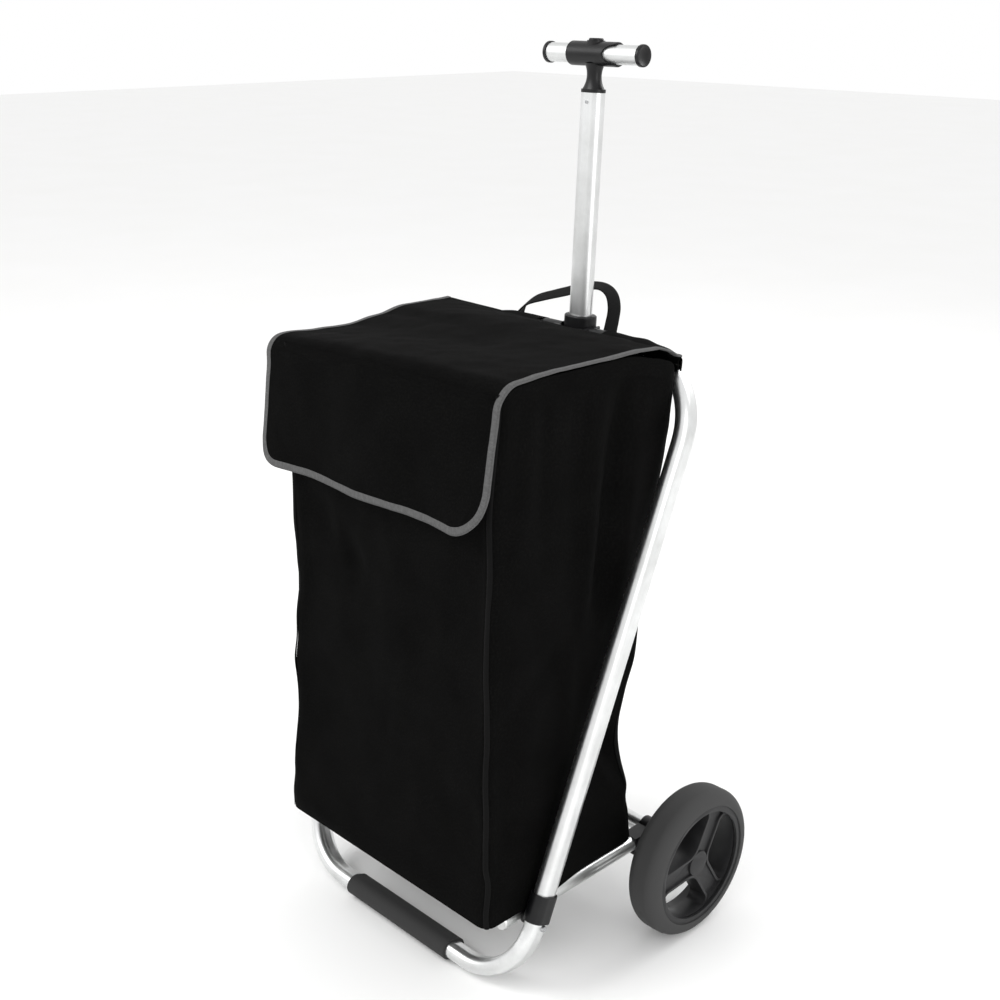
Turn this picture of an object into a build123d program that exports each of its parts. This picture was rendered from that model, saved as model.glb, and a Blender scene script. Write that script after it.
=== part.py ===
from build123d import *
import os
from math import atan2, cos, degrees, radians, sin

# Two-wheeled shopping trolley: a leaning loop frame, a folding base with two wheels, a telescopic
# pole with a T-handle, and a fabric bag with a flap lid.
# Frame: +X to the trolley's left-hand wheel as seen from behind, +Y back, +Z up, origin on the floor
# at the middle of the footprint. Millimetres.

# ---- Driving dimensions ----
WHEEL_R = 100.0
WHEEL_W = 48.0
WHEEL_X = 253.0
AXLE_Y = 107.5
AXLE_R = 5.0

LOOP_LEAN = 23.08
LOOP_HALF_W = 206.0
LOOP_LENGTH = 790.0
LOOP_FOOT_R = 83.6
LOOP_TOP_R = 97.5
LOOP_DEEP = 31.0
LOOP_WIDE = 21.0
LOOP_WALL = 1.8
LOOP_FOOT_Y = AXLE_Y - 270.2
LOOP_FOOT_Z = 15.5

BASE_Z = 100.0
BASE_TUBE_R = 11.0
BASE_TUBE_WALL = 1.5
BASE_SIDE_X = 178.0
BASE_FRONT_Y = AXLE_Y - 267.0
PIVOT_Y = AXLE_Y - 234.0
PIVOT_R = 3.5
CROSSBAR_Y = AXLE_Y + 14.0
CROSSBAR_Z = 102.0
BRACKET_R = 20.0
RUNNING = 0.05

POLE_TOP_Y = AXLE_Y + 43.5
POLE_TOP_Z = 749.8
OUTER_W, OUTER_D, OUTER_WALL = 36.0, 26.0, 1.5
INNER_W, INNER_D, INNER_WALL = 32.0, 22.0, 1.5
OUTER_START = 24.0
OUTER_END = 664.0
COLLAR_START = 645.0
COLLAR_END = 668.0
INNER_START = 500.0
INNER_END = 940.0
GRIP_T = 985.0
GRIP_R = 11.5
GRIP_END_X = 72.0
HUB_R = 14.4
HUB_HALF = 37.0
BUTTON_R = 9.0

BAG_HALF_BOTTOM = 182.0
BAG_HALF_TOP = 186.0
BAG_FRONT_BOTTOM = AXLE_Y - 302.0
BAG_FRONT_TOP = AXLE_Y - 283.0
BAG_BACK_BOTTOM = AXLE_Y - 22.0
BAG_BACK_TOP = AXLE_Y + 14.0
BAG_BOTTOM_Z = 112.0
BAG_TOP_Z = 752.0
BAG_WALL = 2.5
BAG_CORNER_R = 20.0

LID_HALF = 205.0
LID_SHIFT = -16.0
LID_BACK_Y = AXLE_Y + 15.0
LID_BEND_Y = AXLE_Y - 288.0
LID_FRONT_Y = AXLE_Y - 313.0
LID_Z = 758.0
LID_DROP_Z = 604.0
LID_THICK = 2.4
BINDING_W = 8.0
BINDING_THICK = 3.6

# ---- Derived places ----
lean = radians(LOOP_LEAN)
loop_plane = Plane(
    origin=(0, LOOP_FOOT_Y, LOOP_FOOT_Z), x_dir=(1, 0, 0), z_dir=(0, -cos(lean), sin(lean))
)
loop_normal = Vector(0, cos(lean), -sin(lean))
loop_up = Vector(0, sin(lean), cos(lean))
pole_lean = atan2(POLE_TOP_Y - CROSSBAR_Y, POLE_TOP_Z - CROSSBAR_Z)
pole_up = Vector(0, sin(pole_lean), cos(pole_lean))
pole_plane = Plane(origin=(0, CROSSBAR_Y, CROSSBAR_Z), x_dir=(1, 0, 0), z_dir=pole_up)
bar_top = loop_plane.from_local_coords(Vector(0, LOOP_LENGTH, 0))


def loop_section(along, x):
    """Plane across the loop's side tube, a distance along the loop from its foot."""
    centre = loop_plane.from_local_coords(Vector(x, along, 0))
    return Plane(origin=centre, x_dir=loop_normal, z_dir=loop_up)


def cross_plane(x, y, z):
    """Plane facing +X, for pieces that lie across the trolley."""
    return Plane(origin=(x, y, z), x_dir=(0, 1, 0), z_dir=(1, 0, 0))


def save(piece, name):
    """Label a finished piece and write it."""
    piece.part.label = name
    export_step(piece.part, f"parts/{name}.step")


os.makedirs("parts", exist_ok=True)

# ---- Loop frame ----
YOKE_GAP = 27.0
with BuildPart() as loop_tube:
    with BuildLine(loop_plane) as loop_path:
        FilletPolyline(
            (YOKE_GAP, LOOP_LENGTH),
            (LOOP_HALF_W, LOOP_LENGTH),
            (LOOP_HALF_W, 0),
            (-LOOP_HALF_W, 0),
            (-LOOP_HALF_W, LOOP_LENGTH),
            (-YOKE_GAP, LOOP_LENGTH),
            radius=[LOOP_TOP_R, LOOP_FOOT_R, LOOP_FOOT_R, LOOP_TOP_R],
        )
    with BuildSketch(Plane(origin=loop_path.line @ 0, x_dir=loop_normal, z_dir=(1, 0, 0))):
        SlotOverall(LOOP_DEEP, LOOP_WIDE)
        SlotOverall(LOOP_DEEP - 2 * LOOP_WALL, LOOP_WIDE - 2 * LOOP_WALL, mode=Mode.SUBTRACT)
    sweep()
save(loop_tube, "loop_tube")

# Plastic yoke that joins the two open ends of the loop and cradles the pole from the front.
YOKE_END = 52.0
YOKE_WALL = 3.0
YOKE_BLOCK_DEEP = 38.0
YOKE_BLOCK_HIGH = 28.0
CRADLE_W = 45.0
CRADLE_OPEN = 84.0
CRADLE_FRONT = -22.0
SLEEVE_CLEAR = 0.06
yoke_plane = Plane(origin=bar_top, x_dir=loop_normal, z_dir=(1, 0, 0))
with BuildPart() as top_yoke:
    with BuildSketch(yoke_plane):
        SlotOverall(LOOP_DEEP + 2 * YOKE_WALL, LOOP_WIDE + 2 * YOKE_WALL)
    extrude(amount=YOKE_END, both=True)
    with BuildSketch(Plane.XY.offset(bar_top.Z - YOKE_BLOCK_HIGH / 2)):
        with Locations((0, bar_top.Y - 4)):
            RectangleRounded(2 * YOKE_GAP + 4, YOKE_BLOCK_DEEP, 8)
    extrude(amount=YOKE_BLOCK_HIGH)
    for side in (-1, 1):
        with BuildSketch(Plane(origin=bar_top + Vector(side * YOKE_GAP, 0, 0), x_dir=loop_normal,
                               z_dir=(side, 0, 0))):
            SlotOverall(LOOP_DEEP + 2 * SLEEVE_CLEAR, LOOP_WIDE + 2 * SLEEVE_CLEAR)
        extrude(amount=YOKE_END, mode=Mode.SUBTRACT)
    with BuildSketch(pole_plane.offset(COLLAR_START - 60)):
        with Locations((0, CRADLE_FRONT + CRADLE_OPEN / 2)):
            RectangleRounded(CRADLE_W, CRADLE_OPEN, 15)
    extrude(amount=140, mode=Mode.SUBTRACT)
save(top_yoke, "top_yoke")

# Two screws hold the loop's ends in the yoke, on its front.
SCREW_R = 3.5
with BuildPart() as yoke_screws:
    for side in (-1, 1):
        face = bar_top - loop_normal * (LOOP_DEEP / 2 + YOKE_WALL) + Vector(side * 40, 0, 0)
        with BuildSketch(Plane(origin=face, x_dir=(1, 0, 0), z_dir=-loop_normal)):
            Circle(SCREW_R)
        extrude(amount=1.6)
    fillet(yoke_screws.faces().filter_by(GeomType.PLANE).group_by(Axis.Y)[0].edges(), 0.8)
save(yoke_screws, "yoke_screws")

# Rubber foot clipped round the loop's bottom bar, flat where it stands.
FOOT_HALF = 96.0
FOOT_WALL = 3.4
foot_plane = Plane(origin=(0, LOOP_FOOT_Y, LOOP_FOOT_Z), x_dir=loop_normal, z_dir=(1, 0, 0))
with BuildPart() as foot_sleeve:
    with BuildSketch(foot_plane):
        SlotOverall(LOOP_DEEP + 2 * FOOT_WALL, LOOP_WIDE + 2 * FOOT_WALL)
    extrude(amount=FOOT_HALF, both=True)
    with BuildSketch(foot_plane):
        SlotOverall(LOOP_DEEP + 0.1, LOOP_WIDE + 0.1)
        with Locations((18, 0)):
            Rectangle(20, 9)
    extrude(amount=FOOT_HALF + 1, both=True, mode=Mode.SUBTRACT)
    with BuildSketch(Plane.XY):
        with Locations((0, LOOP_FOOT_Y)):
            Rectangle(3 * FOOT_HALF, 90)
    extrude(amount=-20, mode=Mode.SUBTRACT)
save(foot_sleeve, "foot_sleeve")

# Side clamps: sleeves on the loop, each with a lug that carries the base's pivot stud.
CLAMP_LOW, CLAMP_HIGH = 91.0, 126.0
CLAMP_WALL = 2.8
LUG_R = 11.0
LUG_IN = BASE_SIDE_X + BASE_TUBE_R + 0.4
LUG_OUT = LOOP_HALF_W - LOOP_WIDE / 2 - 0.3
STUD_LENGTH = 24.0
for side, name in ((-1, "side_clamp_right"), (1, "side_clamp_left")):
    with BuildPart() as side_clamp:
        with BuildSketch(loop_section(CLAMP_LOW, side * LOOP_HALF_W)):
            SlotOverall(LOOP_DEEP + 2 * CLAMP_WALL, LOOP_WIDE + 2 * CLAMP_WALL)
        extrude(amount=CLAMP_HIGH - CLAMP_LOW)
        fillet(side_clamp.edges().group_by(Axis.Z)[-1], 0.8)
        with BuildSketch(cross_plane(side * LUG_IN, PIVOT_Y, BASE_Z)):
            Circle(LUG_R)
        extrude(amount=side * (LUG_OUT - LUG_IN))
        with BuildSketch(loop_section(CLAMP_LOW - 40, side * LOOP_HALF_W)):
            SlotOverall(LOOP_DEEP + 2 * SLEEVE_CLEAR, LOOP_WIDE + 2 * SLEEVE_CLEAR)
        extrude(amount=120, mode=Mode.SUBTRACT)
        with BuildSketch(cross_plane(side * (LUG_OUT - 2.5), PIVOT_Y, BASE_Z)):
            Circle(PIVOT_R)
        extrude(amount=-side * STUD_LENGTH, mode=Mode.SUBTRACT)
    save(side_clamp, name)

with BuildPart() as pivot_studs:
    for side in (-1, 1):
        with BuildSketch(cross_plane(side * (LUG_OUT - 2.5), PIVOT_Y, BASE_Z)):
            Circle(PIVOT_R)
        extrude(amount=-side * STUD_LENGTH)
save(pivot_studs, "pivot_studs")

# Stop screws in the loop's outer face, just under each clamp.
STOP_ALONG = 85.5
with BuildPart() as stop_screws:
    for side in (-1, 1):
        centre = loop_plane.from_local_coords(Vector(side * (LOOP_HALF_W + LOOP_WIDE / 2), STOP_ALONG, -3))
        with BuildSketch(cross_plane(centre.X, centre.Y, centre.Z)):
            Circle(4.4)
        extrude(amount=side * 3.0, taper=18)
save(stop_screws, "stop_screws")


# ---- Bag and lid ----
def bag_outlines(inset):
    """Bottom and top outlines of the bag, each a rounded rectangle, inset by a wall."""
    rows = (
        (BAG_BOTTOM_Z + inset, BAG_HALF_BOTTOM, BAG_FRONT_BOTTOM, BAG_BACK_BOTTOM),
        (BAG_TOP_Z + inset, BAG_HALF_TOP, BAG_FRONT_TOP, BAG_BACK_TOP),
    )
    outlines = []
    for height, half, front, back in rows:
        with BuildSketch(Plane.XY.offset(height)) as outline:
            with Locations((0, (front + back) / 2)):
                RectangleRounded(2 * (half - inset), back - front - 2 * inset, BAG_CORNER_R - inset)
        outlines.append(outline.sketch)
    return outlines


with BuildPart() as bag_shell:
    loft(bag_outlines(0))
    loft(bag_outlines(BAG_WALL), mode=Mode.SUBTRACT)
save(bag_shell, "bag_shell")

BOARD_THICK = 3.0
with BuildPart() as base_board:
    with BuildSketch(Plane.XY.offset(BAG_BOTTOM_Z + BAG_WALL + 0.4)):
        with Locations((0, (BAG_FRONT_BOTTOM + BAG_BACK_BOTTOM) / 2)):
            RectangleRounded(2 * BAG_HALF_BOTTOM - 16, BAG_BACK_BOTTOM - BAG_FRONT_BOTTOM - 16, 12)
    extrude(amount=BOARD_THICK)
save(base_board, "base_board")


def lid_sheet(thick, half):
    """Section of the lid, forward over the bag and down its front, at its right-hand edge."""
    with BuildSketch(Plane.YZ.offset(LID_SHIFT - half)) as sheet:
        with BuildLine():
            FilletPolyline(
                (LID_BACK_Y, LID_Z), (LID_BEND_Y, LID_Z), (LID_FRONT_Y, LID_DROP_Z), radius=LID_BEND_R
            )
            offset(amount=thick / 2)
        make_face()
    return sheet.sketch


def lid_trim(inset):
    """What is cut away to round the lower corners of the front drop, seen from the front."""
    drop = LID_DROP_Z + inset
    with BuildSketch(Plane.XZ.offset(-LID_BEND_Y - 14)) as trim:
        with Locations((LID_SHIFT, drop - 60)):
            Rectangle(4 * LID_HALF, 230)
        with Locations((LID_SHIFT, drop + 120)):
            RectangleRounded(2 * (LID_HALF - inset), 240, LID_CORNER_R, mode=Mode.SUBTRACT)
    return trim.sketch


LID_BEND_R = 14.0
LID_CORNER_R = 30.0
with BuildPart() as lid_flap:
    extrude(lid_sheet(LID_THICK, LID_HALF - BINDING_W), amount=2 * (LID_HALF - BINDING_W))
    extrude(lid_trim(BINDING_W), amount=60, mode=Mode.SUBTRACT)
save(lid_flap, "lid_flap")

# Grey binding round the lid's sides and drop; its middle is the lid's own room.
with BuildPart() as lid_middle:
    extrude(lid_sheet(4 * BINDING_THICK, LID_HALF - BINDING_W), amount=2 * (LID_HALF - BINDING_W))
    extrude(lid_trim(BINDING_W), amount=60, mode=Mode.SUBTRACT)
with BuildPart() as lid_binding:
    extrude(lid_sheet(BINDING_THICK, LID_HALF), amount=2 * LID_HALF)
    extrude(lid_trim(0), amount=60, mode=Mode.SUBTRACT)
    add(lid_middle.part, mode=Mode.SUBTRACT)
save(lid_binding, "lid_binding")

# Webbing carry loop on the bag's back rim, arching behind the pole.
STRAP_Y = AXLE_Y + 66.0
STRAP_THICK = 2.4
STRAP_W = 25.0
STRAP_LINE = ((-132, 742), (-104, 770), (-30, 797), (32, 793), (54, 768), (48, 738))
STRAP_BENDS = [20, 60, 24, 16]
with BuildPart() as carry_strap:
    with BuildSketch(Plane.XZ.offset(-STRAP_Y - STRAP_W)):
        with BuildLine():
            FilletPolyline(
                *STRAP_LINE, radius=STRAP_BENDS
            )
            offset(amount=STRAP_THICK / 2)
        make_face()
    extrude(amount=STRAP_W)
save(carry_strap, "carry_strap")

# Cloth sleeves of the bag's back rim, round the loop's top bar on each side of the yoke.
RIM_SLEEVE_IN = YOKE_END + 4
RIM_SLEEVE_OUT = LOOP_HALF_W - LOOP_TOP_R
RIM_SLEEVE_THICK = 1.5
RIM_SLEEVE_CLEAR = 0.4
with BuildPart() as rim_sleeves:
    for side in (-1, 1):
        start = bar_top + Vector(side * RIM_SLEEVE_IN, 0, 0)
        with BuildSketch(Plane(origin=start, x_dir=loop_normal, z_dir=(side, 0, 0))):
            SlotOverall(
                LOOP_DEEP + 2 * (RIM_SLEEVE_CLEAR + RIM_SLEEVE_THICK),
                LOOP_WIDE + 2 * (RIM_SLEEVE_CLEAR + RIM_SLEEVE_THICK),
            )
            SlotOverall(LOOP_DEEP + 2 * RIM_SLEEVE_CLEAR, LOOP_WIDE + 2 * RIM_SLEEVE_CLEAR, mode=Mode.SUBTRACT)
        extrude(amount=RIM_SLEEVE_OUT - RIM_SLEEVE_IN)
save(rim_sleeves, "rim_sleeves")

# ---- Folding base ----
for side, name in ((-1, "base_side_tube_right"), (1, "base_side_tube_left")):
    with BuildPart() as side_tube:
        with BuildSketch(Plane(origin=(side * BASE_SIDE_X, BASE_FRONT_Y, BASE_Z), z_dir=(0, 1, 0))):
            Circle(BASE_TUBE_R)
            Circle(BASE_TUBE_R - BASE_TUBE_WALL, mode=Mode.SUBTRACT)
        extrude(amount=AXLE_Y - 30 - BASE_FRONT_Y)
        with BuildSketch(cross_plane(side * (BASE_SIDE_X + 2 * BASE_TUBE_R), PIVOT_Y, BASE_Z)):
            Circle(PIVOT_R + RUNNING)
        extrude(amount=-side * 4 * BASE_TUBE_R, mode=Mode.SUBTRACT)
    save(side_tube, name)

with BuildPart() as front_plugs:
    for side in (-1, 1):
        with BuildSketch(Plane(origin=(side * BASE_SIDE_X, BASE_FRONT_Y, BASE_Z), z_dir=(0, 1, 0))):
            Circle(BASE_TUBE_R - BASE_TUBE_WALL - 0.05)
        extrude(amount=14)
        with BuildSketch(Plane(origin=(side * BASE_SIDE_X, BASE_FRONT_Y, BASE_Z), z_dir=(0, -1, 0))):
            Circle(BASE_TUBE_R)
        extrude(amount=2.5, taper=20)
save(front_plugs, "front_plugs")

with BuildPart() as front_crossbar:
    with BuildSketch(cross_plane(-BASE_SIDE_X, PIVOT_Y, BASE_Z)):
        Circle(BASE_TUBE_R - 1)
        Circle(BASE_TUBE_R - 1 - BASE_TUBE_WALL, mode=Mode.SUBTRACT)
    extrude(amount=2 * BASE_SIDE_X)
    for side in (-1, 1):
        with BuildSketch(Plane(origin=(side * BASE_SIDE_X, BASE_FRONT_Y, BASE_Z), z_dir=(0, 1, 0))):
            Circle(BASE_TUBE_R + 0.05)
        extrude(amount=120, mode=Mode.SUBTRACT)
save(front_crossbar, "front_crossbar")

CHEEK_IN = BASE_SIDE_X - BASE_TUBE_R
CHEEK_OUT = BASE_SIDE_X + BASE_TUBE_R
BOSS_OUT = WHEEL_X - WHEEL_W / 2 - 1.5
with BuildPart() as rear_crossbar:
    with BuildSketch(cross_plane(-CHEEK_IN, CROSSBAR_Y, CROSSBAR_Z)):
        Circle(BASE_TUBE_R)
        Circle(BASE_TUBE_R - BASE_TUBE_WALL, mode=Mode.SUBTRACT)
    extrude(amount=2 * CHEEK_IN)
save(rear_crossbar, "rear_crossbar")

for side, name in ((-1, "rear_bracket_right"), (1, "rear_bracket_left")):
    with BuildPart() as rear_bracket:
        with BuildSketch(cross_plane(side * CHEEK_IN, AXLE_Y, BASE_Z)):
            with Locations((-2, 0)):
                Rectangle(56, 2 * BASE_TUBE_R + 1)
            with Locations((14, CROSSBAR_Z - BASE_Z)):
                Circle(BASE_TUBE_R + 4)
            with Locations((-23, -4)):
                Circle(BASE_TUBE_R + 1)
        extrude(amount=side * (CHEEK_OUT - CHEEK_IN))
        with BuildSketch(cross_plane(side * CHEEK_OUT, AXLE_Y, BASE_Z)):
            Circle(BRACKET_R)
        extrude(amount=side * (BOSS_OUT - CHEEK_OUT), taper=3)
        fillet(rear_bracket.edges().filter_by(GeomType.CIRCLE).sort_by(Axis.X)[-1 if side > 0 else 0], 2)
        with BuildSketch(Plane(origin=(side * BASE_SIDE_X, AXLE_Y - 60, BASE_Z), z_dir=(0, 1, 0))):
            Circle(40)
        extrude(amount=30, mode=Mode.SUBTRACT)
        with BuildSketch(Plane(origin=(side * BASE_SIDE_X, AXLE_Y - 48, BASE_Z), z_dir=(0, 1, 0))):
            Circle(BASE_TUBE_R - BASE_TUBE_WALL - 0.05)
        extrude(amount=22)
        with BuildSketch(cross_plane(side * CHEEK_IN, AXLE_Y, BASE_Z)):
            Circle(AXLE_R)
        extrude(amount=side * 90, mode=Mode.SUBTRACT)
    save(rear_bracket, name)

BRACKET_SCREW = (AXLE_Y - 25.5, 95.0)
with BuildPart() as bracket_screws:
    for side in (-1, 1):
        with BuildSketch(cross_plane(side * CHEEK_OUT, *BRACKET_SCREW)):
            Circle(4.8)
        extrude(amount=side * 3.0, taper=15)
save(bracket_screws, "bracket_screws")

# ---- Wheels: tyre, three-spoke rim, bush, and a ring that keeps the wheel on its axle ----
RIM_R = 81.0
RIM_IN, RIM_OUT = -22.0, 22.5
RIM_WALL = 5.0
LIP_WALL = 7.5
LIP_DEEP = 3.0
SPOKE_W = 29.0
SPOKE_FACE = 17.0
SPOKE_THICK = 27.0
SPOKE_TURN = 62.0
SPOKE_EDGE = 3.5
POCKET_DEEP = 3.5
HUB_IN = -22.4
RIM_HUB_R = 15.0
BUSH_R = 8.0
BUSH_END = 5.0
AXLE_END = 7.5
RING_R = 7.0


def spoke_window(turn, grow):
    """One rounded window between two spokes, grown all round; turn is its middle, in degrees."""
    half = SPOKE_W / 2 - grow
    reach = RIM_R - RIM_WALL - 2 + grow
    start = degrees(atan2(half, (reach**2 - half**2) ** 0.5))
    with BuildSketch() as window:
        with BuildLine():
            first = PolarLocations(reach, 1, start).locations[0].position
            last = PolarLocations(reach, 1, 120 - start).locations[0].position
            middle = PolarLocations(reach, 1, 60).locations[0].position
            corner = PolarLocations(half / sin(radians(60)), 1, 60).locations[0].position
            Line(first, corner)
            Line(corner, last)
            ThreePointArc(last, middle, first)
        make_face()
        by_distance = window.vertices().sort_by_distance((0, 0, 0))
        fillet(by_distance[1:], 10 + grow)
        fillet(window.vertices().sort_by_distance((0, 0, 0))[0], 22 + grow)
    return window.sketch.rotate(Axis.Z, turn - 60)


windows = [spoke_window(SPOKE_TURN + 60 + turn, 0) for turn in (0, 120, 240)]
wide_windows = [spoke_window(SPOKE_TURN + 60 + turn, SPOKE_EDGE) for turn in (0, 120, 240)]
wheel_axis = Axis((0, AXLE_Y, BASE_Z), (1, 0, 0))
half_section = Plane(origin=(0, AXLE_Y, BASE_Z), x_dir=(1, 0, 0), z_dir=(0, -1, 0))

for side, tag in ((-1, "right"), (1, "left")):
    centre = WHEEL_X * side
    with BuildPart() as tyre:
        with BuildSketch(half_section) as tyre_section:
            with Locations((centre, (RIM_R + WHEEL_R) / 2)):
                Rectangle(WHEEL_W, WHEEL_R - RIM_R)
            fillet(tyre_section.vertices().group_by(Axis.Y)[-1], 16.5)
            fillet(tyre_section.vertices().group_by(Axis.Y)[0], 1.2)
        revolve(axis=wheel_axis)
    save(tyre, f"tyre_{tag}")

    with BuildPart() as rim:
        with BuildSketch(half_section):
            with Locations((centre + side * (RIM_IN + RIM_OUT) / 2, RIM_R - RIM_WALL / 2)):
                Rectangle(RIM_OUT - RIM_IN, RIM_WALL)
            with Locations((centre + side * (RIM_OUT - LIP_DEEP / 2), RIM_R - LIP_WALL / 2)):
                Rectangle(LIP_DEEP, LIP_WALL)
        revolve(axis=wheel_axis)
        face = Plane(origin=(centre + side * SPOKE_FACE, AXLE_Y, BASE_Z), x_dir=(0, 1, 0), z_dir=(side, 0, 0))
        with BuildSketch(face):
            Circle(RIM_R - 1)
            for window in windows:
                add(window, mode=Mode.SUBTRACT)
        extrude(amount=-SPOKE_THICK)
        with BuildSketch(face):
            Circle(RIM_R - RIM_WALL - SPOKE_EDGE)
            for window in wide_windows:
                add(window, mode=Mode.SUBTRACT)
            Circle(RIM_HUB_R + 2, mode=Mode.SUBTRACT)
        extrude(amount=-POCKET_DEEP, mode=Mode.SUBTRACT)
        with BuildSketch(cross_plane(centre + side * HUB_IN, AXLE_Y, BASE_Z)):
            Circle(RIM_HUB_R)
        extrude(amount=side * (SPOKE_FACE - HUB_IN))
        with BuildSketch(cross_plane(centre + side * HUB_IN, AXLE_Y, BASE_Z)):
            Circle(BUSH_R)
        extrude(amount=side * (AXLE_END + 2.5 - HUB_IN), mode=Mode.SUBTRACT)
    save(rim, f"rim_{tag}")

    with BuildPart() as wheel_bush:
        with BuildSketch(cross_plane(centre + side * HUB_IN, AXLE_Y, BASE_Z)):
            Circle(BUSH_R)
            Circle(AXLE_R + RUNNING, mode=Mode.SUBTRACT)
        extrude(amount=side * (BUSH_END - HUB_IN))
    save(wheel_bush, f"wheel_bush_{tag}")

AXLE_IN = CHEEK_IN + 3.0
with BuildPart() as stub_axles:
    for side in (-1, 1):
        with BuildSketch(cross_plane(side * AXLE_IN, AXLE_Y, BASE_Z)):
            Circle(AXLE_R)
        extrude(amount=side * (WHEEL_X + AXLE_END - AXLE_IN))
save(stub_axles, "stub_axles")

with BuildPart() as axle_rings:
    for side in (-1, 1):
        with BuildSketch(cross_plane(side * (WHEEL_X + BUSH_END + 0.5), AXLE_Y, BASE_Z)):
            Circle(RING_R)
            Circle(AXLE_R, mode=Mode.SUBTRACT)
        extrude(amount=side * 1.2)
save(axle_rings, "axle_rings")

# ---- Pole: fixed outer tube with its foot and collar ----
with BuildPart() as pole_outer_tube:
    with BuildSketch(pole_plane.offset(OUTER_START)):
        SlotOverall(OUTER_W, OUTER_D)
        SlotOverall(OUTER_W - 2 * OUTER_WALL, OUTER_D - 2 * OUTER_WALL, mode=Mode.SUBTRACT)
    extrude(amount=OUTER_END - OUTER_START)
save(pole_outer_tube, "pole_outer_tube")

FOOT_BLOCK_TOP = 42.0
FOOT_BLOCK_R = 16.0
with BuildPart() as pole_foot:
    with BuildSketch(pole_plane):
        SlotOverall(OUTER_W + 6, OUTER_D + 6)
    extrude(amount=FOOT_BLOCK_TOP)
    with BuildSketch(cross_plane(-OUTER_W / 2 - 3, CROSSBAR_Y, CROSSBAR_Z)):
        Circle(FOOT_BLOCK_R)
    extrude(amount=OUTER_W + 6)
    with BuildSketch(pole_plane.offset(OUTER_START)):
        SlotOverall(OUTER_W, OUTER_D)
    extrude(amount=FOOT_BLOCK_TOP, mode=Mode.SUBTRACT)
    with BuildSketch(cross_plane(-OUTER_W, CROSSBAR_Y, CROSSBAR_Z)):
        Circle(BASE_TUBE_R + RUNNING)
    extrude(amount=2 * OUTER_W, mode=Mode.SUBTRACT)
save(pole_foot, "pole_foot")

COLLAR_WALL = 4.0
COLLAR_LIP = 4.0
with BuildPart() as pole_collar:
    with BuildSketch(pole_plane.offset(COLLAR_START)):
        SlotOverall(OUTER_W + 2 * COLLAR_WALL, OUTER_D + 2 * COLLAR_WALL)
    extrude(amount=COLLAR_END - COLLAR_START)
    fillet(pole_collar.faces().sort_by(Axis.Z)[-1].edges(), 2.5)
    with BuildSketch(pole_plane.offset(COLLAR_START - 1)):
        SlotOverall(OUTER_W, OUTER_D)
    extrude(amount=COLLAR_END - COLLAR_LIP + 1 - COLLAR_START, mode=Mode.SUBTRACT)
    with BuildSketch(pole_plane.offset(COLLAR_START)):
        SlotOverall(INNER_W + 0.2, INNER_D + 0.2)
    extrude(amount=COLLAR_END, mode=Mode.SUBTRACT)
save(pole_collar, "pole_collar")

# ---- Handle: sliding inner tube, T-handle, release rod and brake ----
TUBE_CLEAR = 0.1
PLUG_W = INNER_W - 2 * INNER_WALL - TUBE_CLEAR
PLUG_D = INNER_D - 2 * INNER_WALL - TUBE_CLEAR
ROD_R = 3.0
ROD_CLEAR = 0.3
with BuildPart() as pole_inner_tube:
    with BuildSketch(pole_plane.offset(INNER_START)):
        SlotOverall(INNER_W, INNER_D)
        SlotOverall(INNER_W - 2 * INNER_WALL, INNER_D - 2 * INNER_WALL, mode=Mode.SUBTRACT)
    extrude(amount=INNER_END - INNER_START)
save(pole_inner_tube, "pole_inner_tube")

SHOE_START = INNER_START - 20.0
SHOE_END = INNER_START - 5.0
with BuildPart() as inner_plug:
    with BuildSketch(pole_plane.offset(INNER_START)):
        SlotOverall(PLUG_W, PLUG_D)
    extrude(amount=40)
    with BuildSketch(pole_plane.offset(SHOE_END)):
        SlotOverall(INNER_W + 0.6, INNER_D + 0.6)
    extrude(amount=INNER_START - SHOE_END)
    with BuildSketch(pole_plane.offset(SHOE_END)):
        Circle(ROD_R + ROD_CLEAR)
    extrude(amount=60, mode=Mode.SUBTRACT)
save(inner_plug, "inner_plug")

CONE_R = 4.5
with BuildPart() as brake_shoes:
    for side in (-1, 1):
        with BuildSketch(pole_plane.offset(SHOE_START)):
            with Locations((0, side * (CONE_R + 0.5 + OUTER_D / 2 - OUTER_WALL - RUNNING) / 2)):
                Rectangle(9, OUTER_D / 2 - OUTER_WALL - RUNNING - CONE_R - 0.5)
        extrude(amount=SHOE_END - SHOE_START)
save(brake_shoes, "brake_shoes")

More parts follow.
